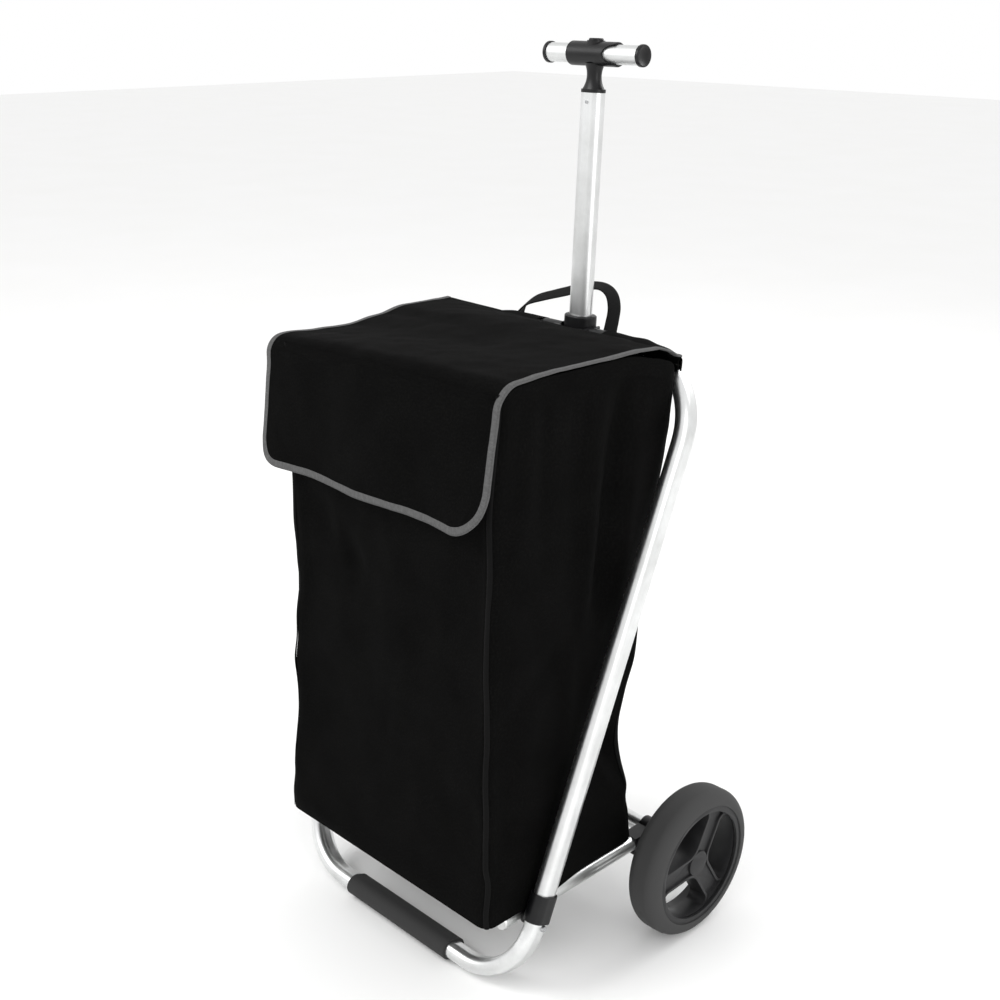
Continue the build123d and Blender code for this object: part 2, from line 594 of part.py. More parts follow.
grip_centre = pole_plane.origin + pole_up * GRIP_T
grip_plane = Plane(origin=grip_centre, x_dir=pole_plane.y_dir, z_dir=(1, 0, 0))
GRIP_IN = 10.0
GRIP_WALL = 1.5
NECK_COLLAR = 4.0
BUTTON_TOP = 18.0
BUTTON_LOW = 9.6
BUTTON_TRAVEL = 3.0
SEAT_TOP = 15.4
SEAT_R = 11.0
with BuildPart() as handle_hub:
    with BuildSketch(grip_plane):
        Circle(HUB_R)
    extrude(amount=HUB_HALF, both=True)
    fillet(handle_hub.edges().filter_by(GeomType.CIRCLE), 1.2)
    with BuildSketch(pole_plane.offset(INNER_END)):
        SlotOverall(INNER_W + 0.8, INNER_D + 0.8)
    extrude(amount=NECK_COLLAR)
    neck_rows = ((INNER_END + NECK_COLLAR, 15.6, 10.8), (958, 9.6, 8.4), (974, 13.5, 11.0))
    for along, half_x, half_y in neck_rows:
        with BuildSketch(pole_plane.offset(along)):
            Ellipse(half_x, half_y)
    loft()
    with BuildSketch(pole_plane.offset(INNER_END - 36)):
        SlotOverall(PLUG_W, PLUG_D)
    extrude(amount=36)
    with BuildSketch(pole_plane.offset(GRIP_T)):
        Circle(SEAT_R)
    extrude(amount=SEAT_TOP)
    for side in (-1, 1):
        with BuildSketch(grip_plane.offset(side * GRIP_IN)):
            Circle(GRIP_R + RUNNING)
        extrude(amount=side * HUB_HALF, mode=Mode.SUBTRACT)
        # Scooped window in the barrel: in front on one side, behind on the other.
        scoop = Plane(origin=grip_centre, x_dir=(1, 0, 0), z_dir=-pole_plane.y_dir * side)
        with BuildSketch(scoop):
            with Locations((side * (HUB_HALF + 2), 0)):
                Ellipse(18, 11.6)
        extrude(amount=30, mode=Mode.SUBTRACT)
    with BuildSketch(pole_plane.offset(GRIP_T + BUTTON_LOW - BUTTON_TRAVEL - 0.6)):
        Circle(BUTTON_R + 0.2)
    extrude(amount=20, mode=Mode.SUBTRACT)
    with BuildSketch(pole_plane.offset(INNER_END - 40)):
        Circle(ROD_R + ROD_CLEAR)
    extrude(amount=100, mode=Mode.SUBTRACT)
save(handle_hub, "handle_hub")

with BuildPart() as handle_button:
    with BuildSketch(pole_plane.offset(GRIP_T + BUTTON_LOW)):
        Circle(BUTTON_R)
    extrude(amount=BUTTON_TOP - BUTTON_LOW)
    fillet(handle_button.edges().group_by(Axis.Z)[-1], 1.8)
save(handle_button, "handle_button")

with BuildPart() as button_spring:
    with BuildSketch(pole_plane.offset(GRIP_T + BUTTON_LOW - BUTTON_TRAVEL - 0.5)):
        Circle(BUTTON_R - 2)
        Circle(BUTTON_R - 3.6, mode=Mode.SUBTRACT)
    extrude(amount=BUTTON_TRAVEL + 0.4)
save(button_spring, "button_spring")

with BuildPart() as release_rod:
    with BuildSketch(pole_plane.offset(SHOE_START)):
        Circle(ROD_R)
    extrude(amount=GRIP_T + BUTTON_LOW - SHOE_START)
    with BuildSketch(pole_plane.offset(SHOE_START + 1)):
        Circle(CONE_R)
    extrude(amount=SHOE_END - SHOE_START - BUTTON_TRAVEL - 2, taper=6)
save(release_rod, "release_rod")

for side, tag in ((-1, "right"), (1, "left")):
    with BuildPart() as grip:
        with BuildSketch(grip_plane.offset(side * GRIP_IN)):
            Circle(GRIP_R)
            Circle(GRIP_R - GRIP_WALL, mode=Mode.SUBTRACT)
        extrude(amount=side * (GRIP_END_X - GRIP_IN))
    save(grip, f"grip_{tag}")

CAP_R = 13.0
CAP_THICK = 5.0
CAP_PLUG = 14.0
DISH_DEEP = 2.6
DISH_R = CAP_R - 1.8
DISH_SPHERE_R = (DISH_R**2 + DISH_DEEP**2) / (2 * DISH_DEEP)
with BuildPart() as left_cap:
    with BuildSketch(grip_plane.offset(GRIP_END_X)):
        Circle(CAP_R)
    extrude(amount=CAP_THICK)
    fillet(left_cap.edges(), 1.0)
    with BuildSketch(grip_plane.offset(GRIP_END_X - CAP_PLUG)):
        Circle(GRIP_R - GRIP_WALL - RUNNING)
    extrude(amount=CAP_PLUG + 1)
    with Locations(grip_centre + Vector(GRIP_END_X + CAP_THICK - DISH_DEEP + DISH_SPHERE_R, 0, 0)):
        Sphere(DISH_SPHERE_R, mode=Mode.SUBTRACT)
save(left_cap, "grip_cap_left")

with BuildPart() as right_cap:
    mirror(left_cap.part, about=Plane.YZ)
save(right_cap, "grip_cap_right")

RIVET_T = 929.0
with BuildPart() as neck_rivet:
    rivet_plane = Plane(
        origin=pole_plane.from_local_coords(Vector(0, -INNER_D / 2, RIVET_T)),
        x_dir=(1, 0, 0),
        z_dir=-pole_plane.y_dir,
    )
    with BuildSketch(rivet_plane):
        Circle(2.2)
    extrude(amount=0.9)
save(neck_rivet, "neck_rivet")
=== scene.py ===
import logging
import math
from dataclasses import dataclass, field
from enum import Enum
from typing import Callable, Iterable, Sequence

import bpy
from mathutils import Matrix, Vector, noise


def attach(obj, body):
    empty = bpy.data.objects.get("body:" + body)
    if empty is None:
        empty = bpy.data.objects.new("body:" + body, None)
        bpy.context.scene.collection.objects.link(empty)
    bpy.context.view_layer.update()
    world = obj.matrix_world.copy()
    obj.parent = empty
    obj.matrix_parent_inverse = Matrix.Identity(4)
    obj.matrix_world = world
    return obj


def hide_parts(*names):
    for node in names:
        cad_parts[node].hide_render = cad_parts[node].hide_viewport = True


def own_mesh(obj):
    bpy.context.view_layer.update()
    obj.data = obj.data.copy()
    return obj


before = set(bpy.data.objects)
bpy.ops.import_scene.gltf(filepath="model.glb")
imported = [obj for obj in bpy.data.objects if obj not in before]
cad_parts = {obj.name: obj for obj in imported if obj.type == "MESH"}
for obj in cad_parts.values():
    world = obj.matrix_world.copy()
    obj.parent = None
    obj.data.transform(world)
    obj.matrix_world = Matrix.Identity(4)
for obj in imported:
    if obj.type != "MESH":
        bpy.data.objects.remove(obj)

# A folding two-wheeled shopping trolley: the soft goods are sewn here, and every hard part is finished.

Tree, Socket, Node, Piece = bpy.types.NodeTree, bpy.types.NodeSocket, bpy.types.Node, bpy.types.Object

MM = 0.001
AXLE = (0.0, 0.1075, 0.100)
LOG = logging.getLogger("trolley")


# ---- Shader helpers ----
def linear(colour: str) -> tuple[float, float, float, float]:
    """Turns an sRGB hex colour such as "#1a1a1a" into linear red, green, blue and alpha."""
    channels = [int(colour[i:i + 2], 16) / 255 for i in (1, 3, 5)]
    straight = [c / 12.92 if c <= 0.04045 else ((c + 0.055) / 1.055) ** 2.4 for c in channels]
    return (*straight, 1.0)


def per_metre(size_mm: float) -> float:
    """Scale of a texture whose features are size_mm across, for coordinates in metres."""
    return 1.0 / (size_mm * MM)


def add_node(tree: Tree, kind: str, inputs: dict | None = None, **settings: object) -> Node:
    """Adds one node to a tree, already set.

    Args:
        tree: the material's node tree.
        kind: the node's Blender type, such as "ShaderNodeBump".
        inputs: input name or number to a value, or to the output socket that feeds it.
        settings: the node's own properties, such as operation="MULTIPLY".

    Returns:
        The new node.
    """
    node = tree.nodes.new(kind)
    for name, value in settings.items():
        setattr(node, name, value)
    for name, value in (inputs or {}).items():
        if isinstance(value, Socket):
            tree.links.new(value, node.inputs[name])
        else:
            node.inputs[name].default_value = value
    return node


def math_node(tree: Tree, operation: str, *values: object) -> Socket:
    """Output of a Math node fed with numbers or sockets, in order."""
    return add_node(tree, "ShaderNodeMath", dict(enumerate(values)), operation=operation).outputs[0]


def times(tree: Tree, first: object, second: object) -> Socket:
    """Product of two values or sockets."""
    return math_node(tree, "MULTIPLY", first, second)


def plus(tree: Tree, first: object, second: object) -> Socket:
    """Sum of two values or sockets."""
    return math_node(tree, "ADD", first, second)


def less(tree: Tree, first: object, second: object) -> Socket:
    """Difference of two values or sockets."""
    return math_node(tree, "SUBTRACT", first, second)


def noise_node(tree: Tree, where: Socket, size_mm: float, detail: float = 2.0,
               rough: float = 0.5) -> Socket:
    """Factor of a noise whose blobs are about size_mm across."""
    inputs = {"Vector": where, "Scale": per_metre(size_mm), "Detail": detail, "Roughness": rough}
    return add_node(tree, "ShaderNodeTexNoise", inputs).outputs["Fac"]


def ramp(tree: Tree, value: Socket, low: float, high: float,
         to_low: float, to_high: float) -> Socket:
    """Maps value from low..high to to_low..to_high, and holds it there outside."""
    inputs = {"Value": value, "From Min": low, "From Max": high, "To Min": to_low, "To Max": to_high}
    return add_node(tree, "ShaderNodeMapRange", inputs).outputs["Result"]


def blend_colours(tree: Tree, factor: object, first: object, second: object) -> Socket:
    """Colour between first and second, by factor."""
    mix = add_node(tree, "ShaderNodeMix", data_type="RGBA")
    for number, value in ((0, factor), (6, first), (7, second)):
        if isinstance(value, Socket):
            tree.links.new(value, mix.inputs[number])
        else:
            mix.inputs[number].default_value = value
    return mix.outputs[2]


def bump(tree: Tree, height: Socket, depth_mm: float,
         under: Socket | None = None, strength: float = 1.0) -> Socket:
    """Normal of a surface raised by height times depth_mm, on top of another bump if one is given."""
    inputs = {"Height": height, "Distance": depth_mm * MM, "Strength": strength}
    if under is not None:
        inputs["Normal"] = under
    return add_node(tree, "ShaderNodeBump", inputs).outputs["Normal"]


class Coordinates(Enum):
    """Where a finish reads its pattern's place."""

    OBJECT = "Object"
    SURFACE = "UV"


@dataclass(frozen=True)
class Finish:
    """A finish for one real material. Subclasses paint the pattern in `surface`."""

    name: str
    slot: str
    colour: str

    def start(self) -> tuple[bpy.types.Material, Tree, Node]:
        """Makes the empty material.

        Returns:
            The material, its tree and its Principled shader.
        """
        material = bpy.data.materials.new(self.name)
        material.use_nodes = True
        tree = material.node_tree
        tree.nodes.clear()
        shader = add_node(tree, "ShaderNodeBsdfPrincipled", {"Base Color": linear(self.colour)})
        add_node(tree, "ShaderNodeOutputMaterial", {"Surface": shader.outputs["BSDF"]})
        material.diffuse_color = linear(self.colour)
        return material, tree, shader

    def place(self, tree: Tree, kind: Coordinates) -> Socket:
        """Coordinates in metres that the pattern follows."""
        return add_node(tree, "ShaderNodeTexCoord").outputs[kind.value]

    def feed(self, tree: Tree, shader: Node, **sockets: object) -> None:
        """Links sockets, or sets values, on the shader's inputs; an underscore stands for a space."""
        for name, value in sockets.items():
            socket = shader.inputs[name.replace("_", " ")]
            if isinstance(value, Socket):
                tree.links.new(value, socket)
            else:
                socket.default_value = value

    def tones(self, tree: Tree, factor: object, other: str) -> Socket:
        """Colour between the finish's own and another sRGB hex colour, by factor."""
        return blend_colours(tree, factor, linear(self.colour), linear(other))

    def surface(self, tree: Tree, shader: Node) -> None:
        """Paints the pattern; each finish has its own."""

    def material(self) -> bpy.types.Material:
        """The finished material, made once and then shared."""
        made = bpy.data.materials.get(self.name)
        if made is None:
            made, tree, shader = self.start()
            self.surface(tree, shader)
        return made


@dataclass(frozen=True)
class SatinAluminium(Finish):
    """Extruded aluminium with a satin anodised skin: faint die lines along the tube, and handling marks."""

    lines_tilt: float = 0.0
    line_mm: float = 0.35
    roughness: float = 0.3

    def surface(self, tree: Tree, shader: Node) -> None:
        """Die lines are a noise stretched along the tube, tilted back by lines_tilt radians."""
        where = self.place(tree, Coordinates.OBJECT)
        turned = add_node(tree, "ShaderNodeMapping",
                          {"Vector": where, "Rotation": (self.lines_tilt, 0.0, 0.0)})
        stretched = add_node(tree, "ShaderNodeMapping",
                             {"Vector": turned.outputs[0], "Scale": (1.0, 1.0, 0.006)})
        lines = noise_node(tree, stretched.outputs[0], self.line_mm, 3.0, 0.6)
        skin = noise_node(tree, where, 0.18, 1.0)
        marks = noise_node(tree, where, 55.0, 4.0, 0.6)
        tone = self.tones(tree, ramp(tree, marks, 0.35, 0.7, 0.0, 1.0), "#d2d3d2")
        tone = blend_colours(tree, ramp(tree, lines, 0.3, 0.7, 0.0, 0.22), tone, linear("#b4b5b6"))
        rough = plus(tree, ramp(tree, marks, 0.3, 0.7, self.roughness - 0.03, self.roughness + 0.05),
                     ramp(tree, lines, 0.3, 0.7, -0.03, 0.05))
        normal = bump(tree, lines, 0.004, bump(tree, skin, 0.004))
        self.feed(tree, shader, Base_Color=tone, Metallic=1.0, Roughness=rough, Normal=normal)


@dataclass(frozen=True)
class ZincSteel(Finish):
    """Zinc-plated steel of screws, studs and axles, with fine plating grain and dull patches."""

    def surface(self, tree: Tree, shader: Node) -> None:
        """Two noises: plating grain for the bump and larger dull patches for the tone."""
        where = self.place(tree, Coordinates.OBJECT)
        patches = noise_node(tree, where, 4.0, 3.0)
        grain = noise_node(tree, where, 0.25, 2.0)
        tone = self.tones(tree, ramp(tree, patches, 0.35, 0.7, 0.0, 1.0), "#8f9092")
        self.feed(tree, shader, Base_Color=tone, Metallic=1.0,
                  Roughness=ramp(tree, patches, 0.3, 0.7, 0.22, 0.42),
                  Normal=bump(tree, grain, 0.01))


@dataclass(frozen=True)
class MouldedPlastic(Finish):
    """Moulded plastic with a fine spark-eroded grain; handled places are a little shinier."""

    light: str = "#222223"
    grain_mm: float = 0.35
    grain_deep: float = 0.02
    roughness: float = 0.42

    def surface(self, tree: Tree, shader: Node) -> None:
        """A cell grain for the bump, and slow variation of tone and shine."""
        where = self.place(tree, Coordinates.OBJECT)
        slow = noise_node(tree, where, 18.0, 3.0)
        grain = noise_node(tree, where, self.grain_mm, 2.0, 0.6)
        tone = self.tones(tree, ramp(tree, slow, 0.3, 0.75, 0.0, 1.0), self.light)
        rough = ramp(tree, slow, 0.3, 0.7, self.roughness - 0.05, self.roughness + 0.07)
        self.feed(tree, shader, Base_Color=tone, Roughness=rough, Normal=bump(tree, grain, self.grain_deep),
                  Specular_IOR_Level=0.3)


@dataclass(frozen=True)
class SoftRubber(Finish):
    """Soft rubber: a dull skin with dust in the grain, and scuffs where it meets the ground."""

    dusty: str = "#2c2b2a"
    roughness: float = 0.6
    scuff_low: float = 0.0
    scuff_high: float = 0.0
    rings_mm: tuple[float, ...] = ()
    shine: float = 0.15

    def surface(self, tree: Tree, shader: Node) -> None:
        """Dust follows a broken noise; below scuff_high metres it thickens towards scuff_low."""
        where = self.place(tree, Coordinates.OBJECT)
        dust = noise_node(tree, where, 9.0, 5.0, 0.65)
        grain = noise_node(tree, where, 0.5, 3.0, 0.6)
        amount = ramp(tree, dust, 0.48, 0.8, 0.0, 0.55)
        if self.scuff_high > self.scuff_low:
            height = add_node(tree, "ShaderNodeSeparateXYZ", {"Vector": where}).outputs["Z"]
            near = ramp(tree, height, self.scuff_low, self.scuff_high, 0.35, 0.0)
            amount = plus(tree, amount, times(tree, near, dust))
        tone = self.tones(tree, amount, self.dusty)
        rough = ramp(tree, dust, 0.3, 0.7, self.roughness - 0.06, self.roughness + 0.1)
        normal = bump(tree, grain, 0.03)
        if self.rings_mm:
            normal = bump(tree, self.moulded_rings(tree, where), 0.35, normal)
        self.feed(tree, shader, Base_Color=tone, Roughness=rough, Normal=normal,
                  Specular_IOR_Level=self.shine)

    def moulded_rings(self, tree: Tree, where: Socket) -> Socket:
        """Height of a skin with fine grooves round the axle, at the radii in rings_mm."""
        parts = add_node(tree, "ShaderNodeSeparateXYZ", {"Vector": where})
        back = less(tree, parts.outputs["Y"], AXLE[1])
        up = less(tree, parts.outputs["Z"], AXLE[2])
        away = math_node(tree, "SQRT", plus(tree, times(tree, back, back), times(tree, up, up)))
        height: object = 1.0
        for radius in self.rings_mm:
            off = math_node(tree, "ABSOLUTE", less(tree, away, radius * MM))
            height = times(tree, height, ramp(tree, off, 0.0002, 0.0007, 0.0, 1.0))
        return height


@dataclass(frozen=True)
class WovenCloth(Finish):
    """Plain-woven polyester: raised yarn crossings with a painted highlight on them, uneven yarns and a slight bloom.
    """

    # light is the colour of the painted highlight on the raised yarn crossings, and also of the real lighter slubs.
    light: str = "#1d1d1e"
    yarn_mm: float = 0.9
    yarn_deep: float = 0.16
    sheen: float = 0.12

    def surface(self, tree: Tree, shader: Node) -> None:
        """Yarn crossings come from two sines along the cloth's own directions, in metres on its UV map."""
        where = self.place(tree, Coordinates.SURFACE)
        wander = add_node(tree, "ShaderNodeTexNoise",
                          {"Vector": where, "Scale": per_metre(14.0), "Detail": 2.0})
        shift = add_node(tree, "ShaderNodeVectorMath", {0: wander.outputs["Color"], 1: (0.0006, 0.0006, 0.0)},
                         operation="MULTIPLY")
        bent = add_node(tree, "ShaderNodeVectorMath", {0: where, 1: shift.outputs[0]}, operation="ADD")
        parts = add_node(tree, "ShaderNodeSeparateXYZ", {"Vector": bent.outputs[0]})
        turn = math.pi * per_metre(self.yarn_mm)
        warp = math_node(tree, "SINE", times(tree, parts.outputs["X"], turn))
        weft = math_node(tree, "SINE", times(tree, parts.outputs["Y"], turn))
        crossing = ramp(tree, times(tree, warp, weft), -1.0, 1.0, 0.0, 1.0)
        slub = noise_node(tree, where, 2.6, 3.0, 0.7)
        worn = noise_node(tree, where, 60.0, 3.0, 0.55)
        # Painted highlight: the raised yarn crossings are painted lighter, as if they caught the light. The slub term
        # is real uneven yarn tone, and worn varies both at random.
        fade = plus(tree, ramp(tree, crossing, 0.55, 1.0, 0.0, 0.5), ramp(tree, slub, 0.45, 0.75, 0.0, 0.4))
        fade = times(tree, fade, ramp(tree, worn, 0.3, 0.7, 0.55, 1.0))
        tone = self.tones(tree, fade, self.light)
        normal = bump(tree, slub, 0.12, bump(tree, crossing, self.yarn_deep))
        self.feed(tree, shader, Base_Color=tone, Normal=normal,
                  Roughness=ramp(tree, slub, 0.3, 0.7, 0.78, 0.92),
                  Sheen_Weight=self.sheen, Sheen_Roughness=0.45, Specular_IOR_Level=0.03)


@dataclass(frozen=True)
class WovenTape(Finish):
    """Narrow woven tape or webbing, ribbed across its length with a painted highlight on the rib crests, with an
    optional row of stitches.
    """

    # light is the colour of the painted highlight on the rib crests, and also of the real lighter slubs.
    light: str = "#7d7d7d"
    rib_mm: float = 1.1
    stitch_at: float = 0.0
    stitch_mm: float = 3.2
    thread: str = "#4b4b4b"
    sheen: float = 0.1

    def surface(self, tree: Tree, shader: Node) -> None:
        """U runs across the tape and V along it, both in metres."""
        where = self.place(tree, Coordinates.SURFACE)
        parts = add_node(tree, "ShaderNodeSeparateXYZ", {"Vector": where})
        across, along = parts.outputs["X"], parts.outputs["Y"]
        turn = 2 * math.pi * per_metre(self.rib_mm)
        rib = math_node(tree, "SINE", times(tree, along, turn))
        slant = plus(tree, times(tree, across, turn * 0.8), times(tree, along, turn * 0.5))
        chevron = math_node(tree, "SINE", slant)
        height = ramp(tree, plus(tree, rib, chevron), -2.0, 2.0, 0.0, 1.0)
        slub = noise_node(tree, where, 3.0, 3.0, 0.6)
        # Painted highlight: the raised rib crests are painted lighter, as if they caught the light. The slub term is
        # real uneven yarn tone.
        fade = plus(tree, ramp(tree, height, 0.4, 1.0, 0.0, 0.5), ramp(tree, slub, 0.4, 0.75, 0.0, 0.5))
        tone = self.tones(tree, fade, self.light)
        normal = bump(tree, height, 0.14)
        if self.stitch_at:
            off = math_node(tree, "ABSOLUTE", less(tree, math_node(tree, "ABSOLUTE", across), self.stitch_at))
            row = ramp(tree, off, 0.0003, 0.0006, 1.0, 0.0)
            dash = math_node(tree, "SINE", times(tree, along, 2 * math.pi * per_metre(self.stitch_mm)))
            thread = times(tree, row, ramp(tree, dash, -0.5, -0.2, 0.0, 1.0))
            tone = blend_colours(tree, thread, tone, linear(self.thread))
            normal = bump(tree, less(tree, 1.0, row), 0.25, normal)
        self.feed(tree, shader, Base_Color=tone, Normal=normal,
                  Roughness=ramp(tree, slub, 0.3, 0.7, 0.72, 0.9),
                  Sheen_Weight=self.sheen, Sheen_Roughness=0.5, Specular_IOR_Level=0.1)


LOOP_LEAN = math.radians(23.08)
POLE_LEAN = math.radians(2.607)
LOOP_ALUMINIUM = SatinAluminium("satin_aluminium_loop", "satin_aluminium", "#ebecec", lines_tilt=LOOP_LEAN)
POLE_ALUMINIUM = SatinAluminium("satin_aluminium_pole", "satin_aluminium", "#ebecec", lines_tilt=POLE_LEAN)
BASE_ALUMINIUM = SatinAluminium("satin_aluminium_base", "satin_aluminium", "#e6e7e6", lines_tilt=math.pi / 2)
GRIP_ALUMINIUM = SatinAluminium("satin_aluminium_grip", "satin_aluminium", "#e2e3e3", roughness=0.46)
ZINC = ZincSteel("zinc_plated_steel", "zinc_steel", "#c4c5c6")
BLACK_PLASTIC = MouldedPlastic("black_moulded_plastic", "black_plastic", "#08080a", light="#101011",
                               roughness=0.38)
WHEEL_PLASTIC = MouldedPlastic("grey_wheel_plastic", "wheel_plastic", "#1d1d1e", light="#252526",
                               roughness=0.46,
                               grain_mm=0.5)
BASE_PANEL = MouldedPlastic("black_base_panel", "base_panel", "#161616", roughness=0.6, grain_mm=1.2,
                            grain_deep=0.05)
TYRE_RUBBER = SoftRubber("tyre_rubber", "tyre_rubber", "#0c0c0c", dusty="#161615", roughness=0.3,
                         scuff_low=0.0, scuff_high=0.012, rings_mm=(83.2, 85.6), shine=0.55)
FOOT_RUBBER = SoftRubber("foot_rubber", "foot_rubber", "#0b0b0b", dusty="#171716", roughness=0.62,
                         scuff_low=0.0, scuff_high=0.008)
# The cloth's light colour is a painted highlight on the weave's raised crossings, mixed with real uneven yarn tone.
BAG_CLOTH = WovenCloth("black_woven_polyester", "bag_fabric", "#030303", light="#1e1e1d", sheen=0.0)
# Each tape's light colour is a painted highlight on its rib crests, mixed with real uneven yarn tone.
GREY_TAPE = WovenTape("grey_binding_tape", "grey_binding", "#4a4a4a", light="#6a6a6a", stitch_at=0.0028,
                      sheen=0.02)
BLACK_TAPE = WovenTape("black_seam_tape", "bag_fabric", "#040404", light="#131313", rib_mm=0.9, sheen=0.0)
WEBBING = WovenTape("black_webbing", "webbing", "#060606", light="#171717", rib_mm=1.6, stitch_at=0.0098,
                    thread="#1c1c1c", sheen=0.01)

NODE_FINISHES: dict[Finish, tuple[str, ...]] = {
    LOOP_ALUMINIUM: ("loop_tube",),
    POLE_ALUMINIUM: ("pole_outer_tube", "pole_inner_tube"),
    BASE_ALUMINIUM: ("base_side_tube_left", "base_side_tube_right", "front_crossbar", "rear_crossbar",
                     "front_plugs"),
    GRIP_ALUMINIUM: ("grip_left", "grip_right"),
    ZINC: ("yoke_screws", "pivot_studs", "stop_screws", "bracket_screws", "stub_axles", "axle_rings",
           "neck_rivet", "button_spring", "release_rod"),
    BLACK_PLASTIC: ("top_yoke", "side_clamp_left", "side_clamp_right", "rear_bracket_left",
                    "rear_bracket_right", "pole_foot", "pole_collar", "inner_plug", "handle_hub",
                    "grip_cap_left", "grip_cap_right", "handle_button", "wheel_bush_left", "wheel_bush_right"),
    TYRE_RUBBER: ("tyre_left", "tyre_right"),
    FOOT_RUBBER: ("foot_sleeve", "brake_shoes"),
    BASE_PANEL: ("base_board",),
}


# ---- Mesh helpers ----
def clear_selection() -> None:
    """Leaves nothing selected, in Object mode."""
    if bpy.context.object is not None and bpy.context.object.mode != "OBJECT":
        bpy.ops.object.mode_set(mode="OBJECT")
    bpy.ops.object.select_all(action="DESELECT")


def select_only(piece: Piece) -> None:
    """Makes piece the one selected and active object."""
    clear_selection()
    piece.select_set(True)
    bpy.context.view_layer.objects.active = piece


def apply_modifiers(piece: Piece) -> None:
    """Applies every modifier on piece, in order."""
    select_only(piece)
    for modifier in list(piece.modifiers):
        bpy.ops.object.modifier_apply(modifier=modifier.name)


def smooth(piece: Piece, degrees: float = 50.0) -> None:
    """Smooth shading, with edges sharper than degrees kept."""
    select_only(piece)
    bpy.ops.object.shade_smooth_by_angle(angle=math.radians(degrees))


def cloth_from_rows(name: str, rows: Sequence[Sequence[Vector]], flat: Callable[[int, int], tuple[float, float]],
                    closed: bool = False) -> Piece:
    """Builds a sheet from rows of points.

    Args:
        name: the object's name.
        rows: equally long rows of points, in metres.
        flat: row and column to the place on the flat cloth, in metres, for the UV map.
        closed: whether each row runs all the way round.

    Returns:
        The new mesh object, at the origin.
    """
    wide = len(rows[0])
    points = [p for row in rows for p in row]
    columns = wide if closed else wide - 1
    faces, places = [], []
    for i in range(len(rows) - 1):
        for j in range(columns):
            corners = ((i, j), (i, j + 1), (i + 1, j + 1), (i + 1, j))
            faces.append([r * wide + c % wide for r, c in corners])
            places.extend(flat(r, c) for r, c in corners)
    mesh = bpy.data.meshes.new(name)
    mesh.from_pydata([tuple(p) for p in points], [], faces)
    layer = mesh.uv_layers.new(name="cloth")
    layer.data.foreach_set("uv", [v for place in places for v in place])
    mesh.update()
    piece = bpy.data.objects.new(name, mesh)
    bpy.context.scene.collection.objects.link(piece)
    return piece


def thicken(piece: Piece, thick_mm: float, offset: float = -1.0) -> None:
    """Gives a sheet its thickness; offset -1 grows it inwards from its outer face."""
    wall = piece.modifiers.new("wall", "SOLIDIFY")
    wall.thickness = thick_mm * MM
    wall.offset = offset
    wall.use_even_offset = False


def refine(piece: Piece, levels: int = 1) -> None:
    """Adds a subdivision surface."""
    surface = piece.modifiers.new("surface", "SUBSURF")
    surface.levels = levels
    surface.render_levels = levels


def step_up(value: float, low: float, high: float) -> float:
    """0 below low, 1 above high, and a smooth step between."""
    t = min(max((value - low) / (high - low), 0.0), 1.0)
    return t * t * (3 - 2 * t)


def between(value: float, rows: Sequence[tuple[float, float]]) -> float:
    """Smooth interpolation in a table of (place, amount) rows, in rising order."""
    if value <= rows[0][0]:
        return rows[0][1]
    for (low, first), (high, second) in zip(rows, rows[1:]):
        if value <= high:
            return first + (second - first) * step_up(value, low, high)
    return rows[-1][1]


def wander(x: float, y: float, size: float, seed: float) -> float:
    """Seeded smooth noise from -1 to 1, with features of that size in metres."""
    return noise.noise(Vector((x / size, y / size, seed)))


def curve_points(points: Iterable[Vector], count: int) -> list[Vector]:
    """Evenly spaced points along a smooth curve through the given ones."""
    knots = list(points)
    ends = [2 * knots[0] - knots[1], *knots, 2 * knots[-1] - knots[-2]]
    fine: list[Vector] = []
    for i in range(1, len(ends) - 2):
        a, b, c, d = ends[i - 1:i + 3]
        for k in range(24):
            t = k / 24
            fine.append(0.5 * ((2 * b) + (c - a) * t + (2 * a - 5 * b + 4 * c - d) * t * t
                               + (3 * b - a - 3 * c + d) * t ** 3))
    fine.append(knots[-1])
    lengths = [0.0]
    for p, q in zip(fine, fine[1:]):
        lengths.append(lengths[-1] + (q - p).length)
    spaced, i = [], 0
    for k in range(count):
        target = lengths[-1] * k / (count - 1)
        while i < len(lengths) - 2 and lengths[i + 1] < target:
            i += 1
        share = (target - lengths[i]) / max(lengths[i + 1] - lengths[i], 1e-9)
        spaced.append(fine[i].lerp(fine[i + 1], share))
    return spaced


@dataclass
class Assembly:
    """Base of the trolley's sub-assemblies: it dresses, places and reports the pieces it makes."""

    made: list[Piece] = field(default_factory=list, init=False)

    def finish_piece(self, piece: Piece, finish: Finish, body: str) -> Piece:
        """Gives a finished mesh its material and its CAD body."""
        piece.data.materials.clear()
        piece.data.materials.append(finish.material())
        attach(piece, body)
        self.made.append(piece)
        return piece

    def fold_with_frame(self, piece: Piece) -> None:
        """Gives the piece its own copy of its mesh data."""
        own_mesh(piece)

    def report(self) -> None:
        """Logs each piece."""
        for piece in self.made:
            LOG.info("%s: %s, %d faces", type(self).__name__, piece.name, len(piece.data.polygons))


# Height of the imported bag's top along its two side edges, from front to back, in metres.
LEFT_TOP = ((-0.178, 0.7640), (-0.149, 0.7710), (-0.111, 0.7735), (0.044, 0.7726), (0.082, 0.7700),
            (0.102, 0.7640), (0.1175, 0.7545))
RIGHT_TOP = ((-0.178, 0.7550), (-0.149, 0.7560), (-0.104, 0.7525), (-0.056, 0.7505), (0.000, 0.7570),
             (0.038, 0.7625), (0.1225, 0.7625))
LID_LEFT_X, LID_RIGHT_X = 0.189, -0.221


